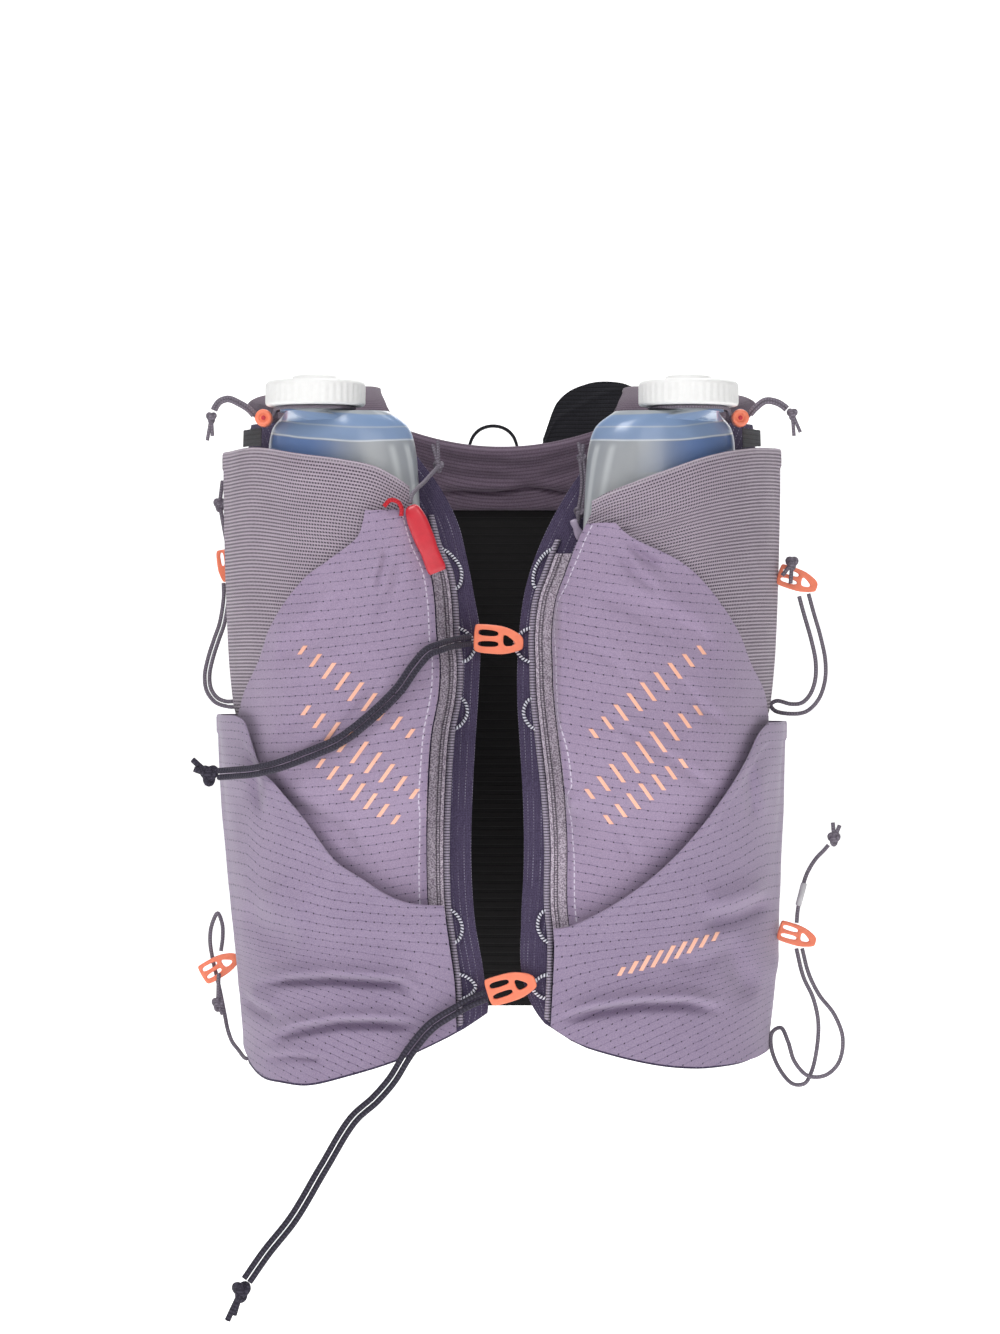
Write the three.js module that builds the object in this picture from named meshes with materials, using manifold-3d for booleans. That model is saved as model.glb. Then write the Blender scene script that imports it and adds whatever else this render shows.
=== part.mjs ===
// Running hydration vest, built as it is worn. Millimetres, +Z up, the wearer's front faces -Y.
// The origin is the shoulder seat: the middle between the crests of the two shoulder straps.
import * as THREE from 'three';
import { mergeVertices } from 'three/addons/utils/BufferGeometryUtils.js';
import Module from 'manifold-3d';

const wasm = await Module();
wasm.setup();

// Overall sizes
const halfWidth = 150;
const frontHeight = 383;
const backHeight = 352;
const frontDepth = 103;
const backDepth = 92;
const sideLayers = 11;
const roundness = 2.6;
const shoulderDrop = 9;
const shoulderFlare = 0.06;

// Cloth walls and the clearances between them
const baseWall = 3;
const strapWall = 5;
const backWall = 4;
const meshWall = 1.2;
const panelWall = 1.2;
const layerGap = 1.2;
const seam = 0.4;

// Soft flasks
const flaskHalfWide = 44;
const flaskHalfDeep = 18;
const flaskBend = 9;
const flaskBottom = 215;
const flaskTop = 17.5;
const flaskCentre = 90;
const flaskYaw = 22;
const flaskTilt = 8;
const flaskSplay = 2.5;
const splayLevel = 30;
const neckOffset = 10;
const flaskFilm = 1.2;
const flaskMargin = 2.2;
const neckRadius = 19;
const neckHeight = 12;
const neckGap = 3;
const capRadius = 27;
const capHeight = 13.5;
const valveRadius = 12;
const valveHeight = 3;

// Bindings and pockets
const pipingWidth = 3.2;
const pipingWall = 2.4;
const zipWidth = 8.5;
const zipWall = 1.8;
const pocketTuck = 14;
const mouthGape = 5;
const loopReach = 5;
const loopDiameter = 1.9;

// Collar, back pocket and hang loop
const neckDrop = 29;
const collarWall = 8;
const yokeDrop = 64;
const backPocketTop = 76;
const backPocketBulge = 14;
const flapTop = 11;
const flapWall = 2;
const flapInner = 24;
const flapOuter = 84;
const hangLoopWidth = 27;
const hangLoopRise = 13;
const hangLoopWall = 1.6;
const hangLoopBand = 7;

// Hooks, toggles, cords and whistle
const hookLength = 27;
const hookWidth = 16.5;
const hookWall = 3.2;
const sideHookLength = 23;
const sideHookWidth = 13;
const sternumCord = 3.2;
const sideCord = 2.3;
const thinCord = 2;
const toggleRadius = 4.7;
const toggleLength = 12;
const whistleLength = 38;
const whistleWidth = 11;
const whistleDepth = 7.5;

// The body form from the front hem (-1) over the crest (0) to the back hem (1), as shares of depth and height
const PROFILE = [
  { along: -1, out: -0.883, down: 1 },
  { along: -0.784, out: -0.971, down: 0.757 },
  { along: -0.6, out: -1, down: 0.551 },
  { along: -0.485, out: -0.971, down: 0.42 },
  { along: -0.357, out: -0.893, down: 0.279 },
  { along: -0.244, out: -0.757, down: 0.157 },
  { along: -0.153, out: -0.58, down: 0.065 },
  { along: -0.09, out: -0.37, down: 0.023 },
  { along: 0, out: 0, down: 0 },
  { along: 0.098, out: 0.413, down: 0.026 },
  { along: 0.175, out: 0.674, down: 0.08 },
  { along: 0.271, out: 0.87, down: 0.176 },
  { along: 0.393, out: 0.978, down: 0.3125 },
  { along: 0.531, out: 1, down: 0.469 },
  { along: 0.694, out: 0.957, down: 0.653 },
  { along: 0.845, out: 0.913, down: 0.824 },
  { along: 1, out: 0.913, down: 1 },
];

// Inner edge of the front bases: share of the front height down, share of the half width out, left and right
const INNER_EDGE = [
  { down: 0.045, left: 0.4, right: 0.42 },
  { down: 0.1, left: 0.316, right: 0.336 },
  { down: 0.15, left: 0.224, right: 0.248 },
  { down: 0.2, left: 0.16, right: 0.175 },
  { down: 0.25, left: 0.127, right: 0.119 },
  { down: 0.3, left: 0.102, right: 0.081 },
  { down: 0.36, left: 0.078, right: 0.061 },
  { down: 0.44, left: 0.084, right: 0.054 },
  { down: 0.52, left: 0.097, right: 0.065 },
  { down: 0.6, left: 0.107, right: 0.076 },
  { down: 0.68, left: 0.11, right: 0.078 },
  { down: 0.76, left: 0.097, right: 0.069 },
  { down: 0.84, left: 0.064, right: 0.073 },
  { down: 0.9, left: 0.06, right: 0.141 },
  { down: 0.95, left: 0.2, right: 0.29 },
];

// Line of the edge webbing, where the bare base meets the pockets
const BINDING = [
  { down: 0.19, left: 0.245, right: 0.235 },
  { down: 0.233, left: 0.215, right: 0.182 },
  { down: 0.27, left: 0.175, right: 0.146 },
  { down: 0.31, left: 0.158, right: 0.11 },
  { down: 0.36, left: 0.15, right: 0.095 },
  { down: 0.4, left: 0.138, right: 0.097 },
  { down: 0.445, left: 0.143, right: 0.101 },
  { down: 0.5, left: 0.168, right: 0.116 },
  { down: 0.577, left: 0.181, right: 0.138 },
  { down: 0.65, left: 0.186, right: 0.15 },
  { down: 0.735, left: 0.182, right: 0.15 },
  { down: 0.79, left: 0.165, right: 0.162 },
  { down: 0.85, left: 0.145, right: 0.158 },
  { down: 0.91, left: 0.139, right: 0.15 },
];

// Bottom hem: share of the half width out, share of the front height down
const HEM = [
  { out: 0.05, left: 0.89, right: 0.87 },
  { out: 0.14, left: 0.914, right: 0.902 },
  { out: 0.25, left: 0.937, right: 0.932 },
  { out: 0.385, left: 0.961, right: 0.951 },
  { out: 0.56, left: 0.984, right: 0.968 },
  { out: 0.7, left: 0.999, right: 0.975 },
  { out: 0.8, left: 0.998, right: 0.975 },
  { out: 0.88, left: 0.993, right: 0.973 },
  { out: 0.94, left: 0.968, right: 0.967 },
  { out: 1, left: 0.91, right: 0.945 },
];

// Top edge of the mesh flask pockets
const MESH_TOP = [
  { out: 0.31, left: 0.159, right: 0.176 },
  { out: 0.375, left: 0.141, right: 0.162 },
  { out: 0.453, left: 0.1254, right: 0.15 },
  { out: 0.567, left: 0.1157, right: 0.133 },
  { out: 0.731, left: 0.106, right: 0.11 },
  { out: 0.892, left: 0.0935, right: 0.095 },
  { out: 1, left: 0.094, right: 0.089 },
];

// Bottom of the mesh pockets, hidden by the chest pockets except at the side
const MESH_BOTTOM = [
  { out: 0.2, left: 0.62, right: 0.62 },
  { out: 0.86, left: 0.61, right: 0.61 },
  { out: 0.95, left: 0.5, right: 0.5 },
  { out: 1, left: 0.445, right: 0.45 },
];

// Slanted outer edge of the chest pockets, and their top
const CHEST_TOP = [
  { out: 0.2, left: 0.187, right: 0.212 },
  { out: 0.353, left: 0.1865, right: 0.205 },
  { out: 0.483, left: 0.188, right: 0.209 },
];
const CHEST_EDGE = [
  { down: 0.186, left: 0.483, right: 0.372 },
  { down: 0.205, left: 0.492, right: 0.4 },
  { down: 0.227, left: 0.515, right: 0.465 },
  { down: 0.2546, left: 0.606, right: 0.613 },
  { down: 0.279, left: 0.692, right: 0.695 },
  { down: 0.318, left: 0.777, right: 0.78 },
  { down: 0.36, left: 0.838, right: 0.85 },
  { down: 0.398, left: 0.872, right: 0.89 },
  { down: 0.438, left: 0.925, right: 0.945 },
  { down: 0.475, left: 0.955, right: 0.965 },
];

// Mouth of the lower pockets
const MOUTH = [
  { out: 0.16, left: 0.737, right: 0.77 },
  { out: 0.24, left: 0.7365, right: 0.766 },
  { out: 0.33, left: 0.733, right: 0.75 },
  { out: 0.414, left: 0.72, right: 0.731 },
  { out: 0.492, left: 0.7, right: 0.71 },
  { out: 0.596, left: 0.672, right: 0.675 },
  { out: 0.699, left: 0.617, right: 0.631 },
  { out: 0.8, left: 0.57, right: 0.578 },
  { out: 0.87, left: 0.536, right: 0.535 },
  { out: 0.917, left: 0.485, right: 0.5 },
  { out: 0.96, left: 0.473, right: 0.483 },
];

// How far the layers wrap round the side, as shares of the way from the centre front to the side
const WRAP = [
  { down: 0.045, out: 0.86 },
  { down: 0.08, out: 0.92 },
  { down: 0.12, out: 0.97 },
  { down: 0.17, out: 0.99 },
  { down: 0.3, out: 1.01 },
  { down: 0.8, out: 1.01 },
  { down: 0.92, out: 0.99 },
];

// How far the lower pockets swell past the sides, as shares of the half width
const SWELL = [
  { down: 0.45, left: 0, right: 0 },
  { down: 0.55, left: 0.012, right: 0.012 },
  { down: 0.74, left: 0.02, right: 0.045 },
  { down: 0.84, left: 0.01, right: 0.05 },
  { down: 0.94, left: 0, right: 0.036 },
];

// Soft flask sections from its bottom seam (0) to the foot of the neck (1), as shares of its half sizes
const FLASK = [
  { at: 0, wide: 0.82, deep: 0.14 },
  { at: 0.05, wide: 0.94, deep: 0.5 },
  { at: 0.14, wide: 1, deep: 0.86 },
  { at: 0.32, wide: 1, deep: 1 },
  { at: 0.8, wide: 0.99, deep: 1 },
  { at: 0.9, wide: 0.97, deep: 0.96 },
  { at: 0.96, wide: 0.89, deep: 0.9 },
  { at: 1, wide: 0.68, deep: 0.82 },
];

// Strap edges from the front joint (0) over the crest to the back joint (1), as shares of the half width
const STRAP = [
  { at: 0, inner: 0.415, outer: 0.895 },
  { at: 0.25, inner: 0.425, outer: 0.9 },
  { at: 0.5, inner: 0.425, outer: 0.9 },
  { at: 0.75, inner: 0.4, outer: 0.88 },
  { at: 1, inner: 0.38, outer: 0.82 },
];

// Back panel edge: share of the back height down, share of the way from the centre to the side
const BACK_EDGE = [
  { down: 0.18, out: 0.74 },
  { down: 0.3, out: 0.7 },
  { down: 0.42, out: 0.75 },
  { down: 0.55, out: 0.85 },
  { down: 0.85, out: 0.87 },
  { down: 1, out: 0.78 },
];

// Top edge of the loose flap: share of the flap's width out, share of its rise above the collar
const FLAP_TOP = [
  { out: 0, rise: 0.18 },
  { out: 0.14, rise: 0.72 },
  { out: 0.42, rise: 0.98 },
  { out: 0.74, rise: 1 },
  { out: 1, rise: 0.84 },
];

// Daisy loops on the edge webbing: middle and length as shares of the front height, reach as a share
const LOOPS = [
  { down: 0.267, long: 0.06, reach: 0.9 },
  { down: 0.374, long: 0.05, reach: 1.5 },
  { down: 0.47, long: 0.045, reach: 0.9 },
  { down: 0.768, long: 0.048, reach: 0.9 },
  { down: 0.853, long: 0.036, reach: 1.5 },
];

// Hook plate: outline, two cord slots and the loop hole, as shares of its length and width
const HOOK_OUTLINE = [
  [-0.5, -0.32], [-0.42, -0.44], [0, -0.5], [0.2, -0.48], [0.46, -0.36], [0.5, -0.26],
  [0.5, 0.1], [0.14, 0.42], [-0.4, 0.5], [-0.47, 0.44],
];
const HOOK_HOLES = [
  [[-0.4, 0.12], [0, 0.08], [0, 0.26], [-0.38, 0.33]],
  [[-0.4, -0.24], [0, -0.26], [0, -0.08], [-0.4, -0.06]],
  [[0.1, -0.24], [0.3, -0.22], [0.34, -0.1], [0.1, 0.2]],
];

const degrees = Math.PI / 180;
const mix = (a, b, share) => a + (b - a) * share;
const clamp = (value, low, high) => Math.min(high, Math.max(low, value));
const signedPower = (value, power) => Math.sign(value) * Math.abs(value) ** power;

function ease(value) {
  const share = clamp(value, 0, 1);
  return share * share * (3 - 2 * share);
}

// A smooth curve through the rows of a table
function through(rows, key, column, at) {
  const last = rows.length - 1;
  if (at <= rows[0][key]) return rows[0][column];
  if (at >= rows[last][key]) return rows[last][column];
  const i = rows.findIndex((row) => row[key] > at) - 1;
  const slope = (k) => {
    const before = rows[Math.max(0, k - 1)];
    const after = rows[Math.min(last, k + 1)];
    return (after[column] - before[column]) / (after[key] - before[key]);
  };
  const width = rows[i + 1][key] - rows[i][key];
  const s = (at - rows[i][key]) / width;
  return (
    (2 * s ** 3 - 3 * s ** 2 + 1) * rows[i][column] +
    (s ** 3 - 2 * s ** 2 + s) * width * slope(i) +
    (3 * s ** 2 - 2 * s ** 3) * rows[i + 1][column] +
    (s ** 3 - s ** 2) * width * slope(i + 1)
  );
}

// The value between low and high where a rising function reaches the target
function solve(rising, target, low, high) {
  for (let step = 0; step < 24; step++) {
    const middle = (low + high) / 2;
    if (rising(middle) < target) low = middle;
    else high = middle;
  }
  return (low + high) / 2;
}

// Body form

const bodyHalf = halfWidth - sideLayers;

function section(angle, depth) {
  return {
    x: bodyHalf * signedPower(Math.sin(angle), 2 / roundness),
    y: depth * signedPower(Math.cos(angle), 2 / roundness),
  };
}

const girthSteps = 360;
const girth = [0];
for (let step = 1; step <= girthSteps; step++) {
  const from = section(((step - 1) * Math.PI) / girthSteps, frontDepth);
  const to = section((step * Math.PI) / girthSteps, frontDepth);
  girth.push(girth[step - 1] + Math.hypot(to.x - from.x, to.y - from.y));
}

// The section's angle where a share of the way from the centre to the side is reached
function angleAt(across) {
  const target = Math.abs(across) * girth[girthSteps / 2];
  const next = girth.findIndex((length) => length > target);
  const share = (target - girth[next - 1]) / (girth[next] - girth[next - 1]);
  return ((next - 1 + share) * Math.PI) / girthSteps;
}

function body(along, across) {
  const depth = (along > 0 ? backDepth : frontDepth) * through(PROFILE, 'along', 'out', along);
  const height = along > 0 ? backHeight : frontHeight;
  const { x, y } = section(angleAt(across), depth);
  const level = height * through(PROFILE, 'along', 'down', along);
  const atShoulder = 1 - ease(level / (2 * shoulderDrop));
  const drop = shoulderDrop * atShoulder * Math.min(1, Math.abs(x) / bodyHalf) ** 2;
  return new THREE.Vector3(Math.sign(across) * x * (1 + shoulderFlare * atShoulder), y, -level - drop);
}

// A point raised from the body form along its normal
function raised(along, across, height) {
  const step = 0.002;
  const down = body(along + step, across).sub(body(along - step, across));
  const over = body(along, across + step).sub(body(along, across - step));
  const normal = new THREE.Vector3().crossVectors(down, over).normalize();
  return body(along, across).addScaledVector(normal, -height);
}

const alongFront = (z) => -solve((s) => frontHeight * through(PROFILE, 'along', 'down', -s), -z, 0.02, 1);
const alongBack = (z) => solve((s) => backHeight * through(PROFILE, 'along', 'down', s), -z, 0.02, 1);

// Front layers are raised level with the ground, and lean forward where the body turns to the side
const sidewaysFrom = 0.84;
const sidewaysShare = 0.2;
const levels = new Map();

function frontSection(z) {
  const key = z.toFixed(3);
  if (!levels.has(key)) {
    levels.set(key, frontDepth * through(PROFILE, 'along', 'out', alongFront(z)));
  }
  return levels.get(key);
}

function front(z, across, height) {
  const depth = frontSection(z);
  const step = 0.004;
  const low = section(angleAt(Math.max(0, across - step)), depth);
  const high = section(angleAt(across + step), depth);
  const here = section(angleAt(Math.max(0, across)), depth);
  const turn = mix(sidewaysShare, 1, ease((across - sidewaysFrom) / (1 - sidewaysFrom)));
  const sideways = (high.y - low.y) * turn;
  const forward = low.x - high.x;
  const length = Math.hypot(sideways, forward);
  const x = here.x + (height * sideways) / length;
  const y = here.y + (height * forward) / length;
  return new THREE.Vector3(across < 0 ? -x : x, y, z);
}

// Soft flask

const flaskLength = flaskBottom - flaskTop;
const yaw = flaskYaw * degrees;
const flaskAxisX = (z) => flaskCentre + Math.tan(flaskSplay * degrees) * (z + splayLevel);

function flaskSection(z) {
  const at = clamp((z + flaskBottom) / flaskLength, 0, 1);
  return {
    wide: flaskHalfWide * through(FLASK, 'at', 'wide', at),
    deep: flaskHalfDeep * through(FLASK, 'at', 'deep', at),
  };
}

// A soft flask bends round the chest: its edges lie further back than its middle
const bendAt = (u) => flaskBend * (u / flaskHalfWide) ** 2;

// The flask leans back with the chest and rests on the base at the tightest place
function restingDepth() {
  let rest = Infinity;
  const lean = Math.tan(flaskTilt * degrees);
  for (let z = -flaskBottom; z <= -flaskTop; z += flaskLength / 12) {
    const { wide, deep } = flaskSection(z);
    for (let turn = 0; turn < 360; turn += 15) {
      const u = wide * Math.cos(turn * degrees);
      const w = deep * Math.sin(turn * degrees) + bendAt(u);
      const x = flaskAxisX(z) + u * Math.cos(yaw) - w * Math.sin(yaw);
      const y = u * Math.sin(yaw) + w * Math.cos(yaw) + lean * (z + flaskBottom);
      const across = solve((s) => front(z, s, baseWall + layerGap).x, x, 0, 1);
      rest = Math.min(rest, front(z, across, baseWall + layerGap).y - y);
    }
  }
  return rest;
}
const flaskDepth = restingDepth();
const flaskAxisY = (z) => flaskDepth + Math.tan(flaskTilt * degrees) * (z + flaskBottom);

function insideFlask(point, margin) {
  if (point.z < -flaskBottom - margin) return false;
  const { wide, deep } = flaskSection(point.z);
  const dx = point.x - flaskAxisX(point.z);
  const dy = point.y - flaskAxisY(point.z);
  const u = dx * Math.cos(yaw) + dy * Math.sin(yaw);
  const w = -dx * Math.sin(yaw) + dy * Math.cos(yaw) - bendAt(u);
  return (u / (wide + margin)) ** 2 + (w / (deep + margin)) ** 2 < 1;
}

// Heights of the cloth layers above the body form, on one grid for all of them

const gridRows = 50;
const gridColumns = 44;
const gridTop = -0.05 * frontHeight;
const gridBottom = -1.03 * frontHeight;
const gridEnd = 1.06;
const zAt = (j) => mix(gridTop, gridBottom, j / (gridRows - 1));
const acrossAt = (i) => (gridEnd * i) / (gridColumns - 1);

function field(value) {
  const rows = [];
  for (let j = 0; j < gridRows; j++) {
    rows.push([]);
    for (let i = 0; i < gridColumns; i++) rows[j].push(value(zAt(j), acrossAt(i), j, i));
  }
  return rows;
}

function sample(layer, z, across) {
  const j = clamp(((z - gridTop) / (gridBottom - gridTop)) * (gridRows - 1), 0, gridRows - 1.001);
  const i = clamp((across / gridEnd) * (gridColumns - 1), 0, gridColumns - 1.001);
  const row = Math.floor(j);
  const column = Math.floor(i);
  const near = mix(layer[row][column], layer[row][column + 1], i - column);
  const far = mix(layer[row + 1][column], layer[row + 1][column + 1], i - column);
  return mix(near, far, j - row);
}

// Cloth pulled taut over what lies under it, and sewn down where free says no
function stretched(under, free) {
  const layer = under.map((row) => [...row]);
  const rounds = 160;
  for (let round = 0; round < rounds; round++) {
    for (let j = 0; j < gridRows; j++) {
      for (let i = 1; i < gridColumns - 1; i++) {
        if (!free[j][i]) continue;
        const above = layer[Math.max(0, j - 1)][i];
        const below = layer[Math.min(gridRows - 1, j + 1)][i];
        const beside = layer[j][i - 1] + layer[j][i + 1];
        layer[j][i] = Math.max(under[j][i], (above + below + 2 * beside) / 6);
      }
    }
  }
  return layer;
}

// Each height is the most that lies within one step of it, so that flat faces clear what they pass over
function widened(layer) {
  return field((z, across, j, i) => {
    let most = 0;
    for (const row of layer.slice(Math.max(0, j - 1), j + 2)) {
      most = Math.max(most, ...row.slice(Math.max(0, i - 1), i + 2));
    }
    return most;
  });
}

function flaskReach(z, across) {
  let reach = 0;
  const step = 1;
  for (let height = step; height < 90; height += step) {
    if (insideFlask(front(z, across, height), flaskMargin)) reach = height;
  }
  return reach;
}

// The share of the half width that a layer reaches, and the way across where it reaches a given share
const widest = 0.92;
const xShare = (z, across, layer) => front(z, across, sample(layer, z, across)).x / halfWidth;
const acrossFor = (z, share, layer) => solve((a) => xShare(z, a, layer), share, 0, widest);
const average = (rows, key, at) => (through(rows, key, 'left', at) + through(rows, key, 'right', at)) / 2;
const bindingOver = (pipingWidth + zipWidth) / halfWidth;

const bare = field(() => 0);
const onBase = field(() => baseWall + seam);
const flaskField = field((z, across) => Math.max(baseWall + layerGap, flaskReach(z, across)));
const overFlask = widened(flaskField);
const shareGrid = field((z, across) => front(z, across, baseWall).x / halfWidth);
const sewnSide = 0.99;
const inMesh = field((z, across, j, i) => {
  const down = -z / frontHeight;
  const inside = shareGrid[j][i] > average(BINDING, 'down', down) + bindingOver;
  return inside && across < sewnSide && down < average(MESH_BOTTOM, 'out', shareGrid[j][i]);
});
const meshLayer = stretched(overFlask, inMesh);

const overMesh = widened(meshLayer);
const chestFloor = field((z, across, j, i) => overMesh[j][i] + meshWall + layerGap);
const inChest = field((z, across, j, i) => {
  const inside = shareGrid[j][i] > average(BINDING, 'down', -z / frontHeight) + bindingOver;
  return inside && across < sewnSide;
});
const chestLayer = stretched(chestFloor, inChest);

const gapeLength = 0.11;
const puffHeight = 6;
const lowerFloor = field((z, across, j, i) => {
  const down = -z / frontHeight;
  const mouth = average(MOUTH, 'out', shareGrid[j][i]);
  const tucked = ease((mouth + (2 * pocketTuck) / frontHeight - down) * frontHeight / pocketTuck);
  const gape = mouthGape * (1 - ease((down - mouth) / gapeLength));
  const below = clamp((down - mouth) / (1 - mouth), 0, 1);
  const puff = puffHeight * Math.sin(Math.PI * below) * Math.sin(Math.PI * clamp(across, 0, 1));
  const chest = chestLayer[j][i] + panelWall + layerGap;
  return mix(baseWall + layerGap, chest, tucked) + (across < sewnSide ? gape + puff : 0);
});
const inLower = field((z, across, j, i) => {
  const down = -z / frontHeight;
  const inside = shareGrid[j][i] > average(BINDING, 'down', down) + pipingWidth / halfWidth;
  return inside && across < sewnSide && down < average(HEM, 'out', shareGrid[j][i]) - pocketTuck / frontHeight;
});
const lowerLayer = stretched(lowerFloor, inLower);

// Solids

const vest = new THREE.Group();

function signedVolume(geometry) {
  const place = geometry.getAttribute('position');
  const index = geometry.index.array;
  const [a, b, c] = [new THREE.Vector3(), new THREE.Vector3(), new THREE.Vector3()];
  let volume = 0;
  for (let i = 0; i < index.length; i += 3) {
    a.fromBufferAttribute(place, index[i]);
    b.fromBufferAttribute(place, index[i + 1]);
    c.fromBufferAttribute(place, index[i + 2]);
    volume += a.dot(b.cross(c)) / 6;
  }
  return volume;
}

// Merged vertices, and faces turned outwards
function closed(geometry) {
  const plain = new THREE.BufferGeometry();
  plain.setAttribute('position', geometry.getAttribute('position').clone());
  if (geometry.index) plain.setIndex(geometry.index.clone());
  const merged = mergeVertices(plain, 1e-4);
  if (signedVolume(merged) < 0) {
    const index = merged.index.array;
    for (let i = 0; i < index.length; i += 3) [index[i], index[i + 1]] = [index[i + 1], index[i]];
  }
  return merged;
}

function toManifold(geometry) {
  const merged = closed(geometry);
  const vertProperties = merged.getAttribute('position').array;
  return new wasm.Manifold(new wasm.Mesh({ numProp: 3, vertProperties, triVerts: new Uint32Array(merged.index.array) }));
}

function fromManifold(solid) {
  const mesh = solid.getMesh();
  const geometry = new THREE.BufferGeometry();
  geometry.setAttribute('position', new THREE.BufferAttribute(new Float32Array(mesh.vertProperties), 3));
  geometry.setIndex(new THREE.BufferAttribute(new Uint32Array(mesh.triVerts), 1));
  return geometry;
}

const joined = (pieces) => fromManifold(pieces.map(toManifold).reduce((whole, piece) => whole.add(piece)));

// One closed wall between two grids of points with the same rows and columns
function wallBetween(insides, outsides) {
  const rows = insides.length;
  const columns = insides[0].length;
  const points = [...insides.flat(), ...outsides.flat()];
  const at = (layer, j, i) => layer * rows * columns + j * columns + i;
  const index = [];
  const quad = (a, b, c, d) => index.push(a, b, c, a, c, d);
  for (let j = 0; j < rows - 1; j++) {
    for (let i = 0; i < columns - 1; i++) {
      quad(at(0, j, i), at(0, j, i + 1), at(0, j + 1, i + 1), at(0, j + 1, i));
      quad(at(1, j, i), at(1, j + 1, i), at(1, j + 1, i + 1), at(1, j, i + 1));
    }
    quad(at(0, j, 0), at(0, j + 1, 0), at(1, j + 1, 0), at(1, j, 0));
    quad(at(0, j, columns - 1), at(1, j, columns - 1), at(1, j + 1, columns - 1), at(0, j + 1, columns - 1));
  }
  for (let i = 0; i < columns - 1; i++) {
    quad(at(0, 0, i), at(1, 0, i), at(1, 0, i + 1), at(0, 0, i + 1));
    quad(at(0, rows - 1, i), at(0, rows - 1, i + 1), at(1, rows - 1, i + 1), at(1, rows - 1, i));
  }
  const geometry = new THREE.BufferGeometry().setFromPoints(points);
  geometry.setIndex(index);
  return closed(geometry);
}

function add(name, geometry, material, group = vest) {
  const mesh = new THREE.Mesh(geometry, material.clone());
  mesh.name = name;
  group.add(mesh);
  return mesh;
}

function finish(color, roughness, metalness = 0) {
  return new THREE.MeshStandardMaterial({ color, roughness, metalness });
}

const meshNavy = finish(0x4a4260, 0.9);
const purple = finish(0xae9cb8, 0.75);
const greyMesh = finish(0x9a8b99, 0.9);
const greyTape = finish(0x857789, 0.85);
const darkMesh = finish(0x24242c, 0.9);
const lining = finish(0x54464f, 0.9);
const film = finish(0xb4bcc8, 0.3);
const white = finish(0xf2f2f0, 0.4);
const coral = finish(0xf08a68, 0.45);
const red = finish(0xc83440, 0.4);
const darkCord = finish(0x3a3b42, 0.8);
const greyCord = finish(0x7c7480, 0.8);

// Cloth layers on the front

// The height at which a column of a piece meets an edge that is given over the width
function meeting(edge, column, inner, outer, layer) {
  let z = -frontHeight / 2;
  for (let round = 0; round < 16; round++) {
    const across = mix(inner(z), outer(z), column);
    z = mix(z, -frontHeight * edge(xShare(z, across, layer)), 0.7);
  }
  return z;
}

const flat = () => 0;
function cloth({ side, layer, wall, columns, rows, top, bottom, inner, outer, inward = 1, downward = 1, swell = flat }) {
  const insides = [];
  const outsides = [];
  const ends = Array.from({ length: columns + 1 }, (_, i) => ({
    column: (i / columns) ** inward,
    high: meeting(top, (i / columns) ** inward, inner, outer, layer),
    low: meeting(bottom, (i / columns) ** inward, inner, outer, layer),
  }));
  for (let j = 0; j <= rows; j++) {
    insides.push([]);
    outsides.push([]);
    ends.forEach(({ column, high, low }) => {
      const z = mix(low, high, (1 - j / rows) ** downward);
      const across = mix(inner(z), outer(z), column);
      const height = sample(layer, z, across) + swell(z, across);
      for (const [list, lift] of [[insides, 0], [outsides, wall]]) {
        const point = front(z, across, height + lift);
        list[j].push(new THREE.Vector3(side * point.x, point.y, z));
      }
    });
  }
  return wallBetween(insides, outsides);
}

const SIDES = [
  { name: 'left', side: -1, bindingTop: 0.19, zipTop: 0.222 },
  { name: 'right', side: 1, bindingTop: 0.225, zipTop: 0.245 },
];
const wrap = (z) => through(WRAP, 'down', 'out', -z / frontHeight);
const baseTop = 0.052;
const swellFrom = 0.5;
const hemRise = 0.004;

// The way across of a line given in shares of the half width, moved out by some millimetres
function line(table, name, layer, moved = 0) {
  return (z) => acrossFor(z, through(table, 'down', name, -z / frontHeight) + moved / halfWidth, layer);
}

for (const { name, side, bindingTop, zipTop } of SIDES) {
  const edge = (table, lift = 0) => (share) => through(table, 'out', name, share) + lift;
  const past = pipingWidth + zipWidth + 2 * seam;

  add(`front_base_${name}`, cloth({
    side, layer: bare, wall: baseWall, columns: 7, rows: 13,
    top: () => baseTop, bottom: edge(HEM), inner: line(INNER_EDGE, name, bare), outer: wrap,
  }), meshNavy);

  add(`flask_pocket_${name}`, cloth({
    side, layer: meshLayer, wall: meshWall, columns: 13, rows: 10, inward: 1.25, downward: 1.35,
    top: edge(MESH_TOP), bottom: edge(MESH_BOTTOM), inner: line(BINDING, name, meshLayer, past), outer: wrap,
  }), greyMesh);

  add(`chest_pocket_${name}`, cloth({
    side, layer: chestLayer, wall: panelWall, columns: 10, rows: 10, inward: 1.35,
    top: edge(CHEST_TOP), bottom: edge(MOUTH, pocketTuck / frontHeight),
    inner: line(BINDING, name, chestLayer, past), outer: line(CHEST_EDGE, name, chestLayer),
  }), purple);

  add(`lower_pocket_${name}`, cloth({
    side, layer: lowerLayer, wall: panelWall, columns: 12, rows: 9,
    top: edge(MOUTH), bottom: edge(HEM, -hemRise),
    inner: line(BINDING, name, lowerLayer, pipingWidth + seam), outer: wrap,
    swell: (z, across) => (
      halfWidth * through(SWELL, 'down', name, -z / frontHeight) * ease((across - swellFrom) / (1 - swellFrom))
    ),
  }), purple);

  add(`zip_strip_${name}`, cloth({
    side, layer: onBase, wall: zipWall, columns: 1, rows: 14,
    top: () => zipTop, bottom: edge(MOUTH, pocketTuck / (2 * frontHeight)),
    inner: line(BINDING, name, onBase, pipingWidth + seam),
    outer: line(BINDING, name, onBase, pipingWidth + zipWidth + seam),
  }), greyTape);
}

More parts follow.
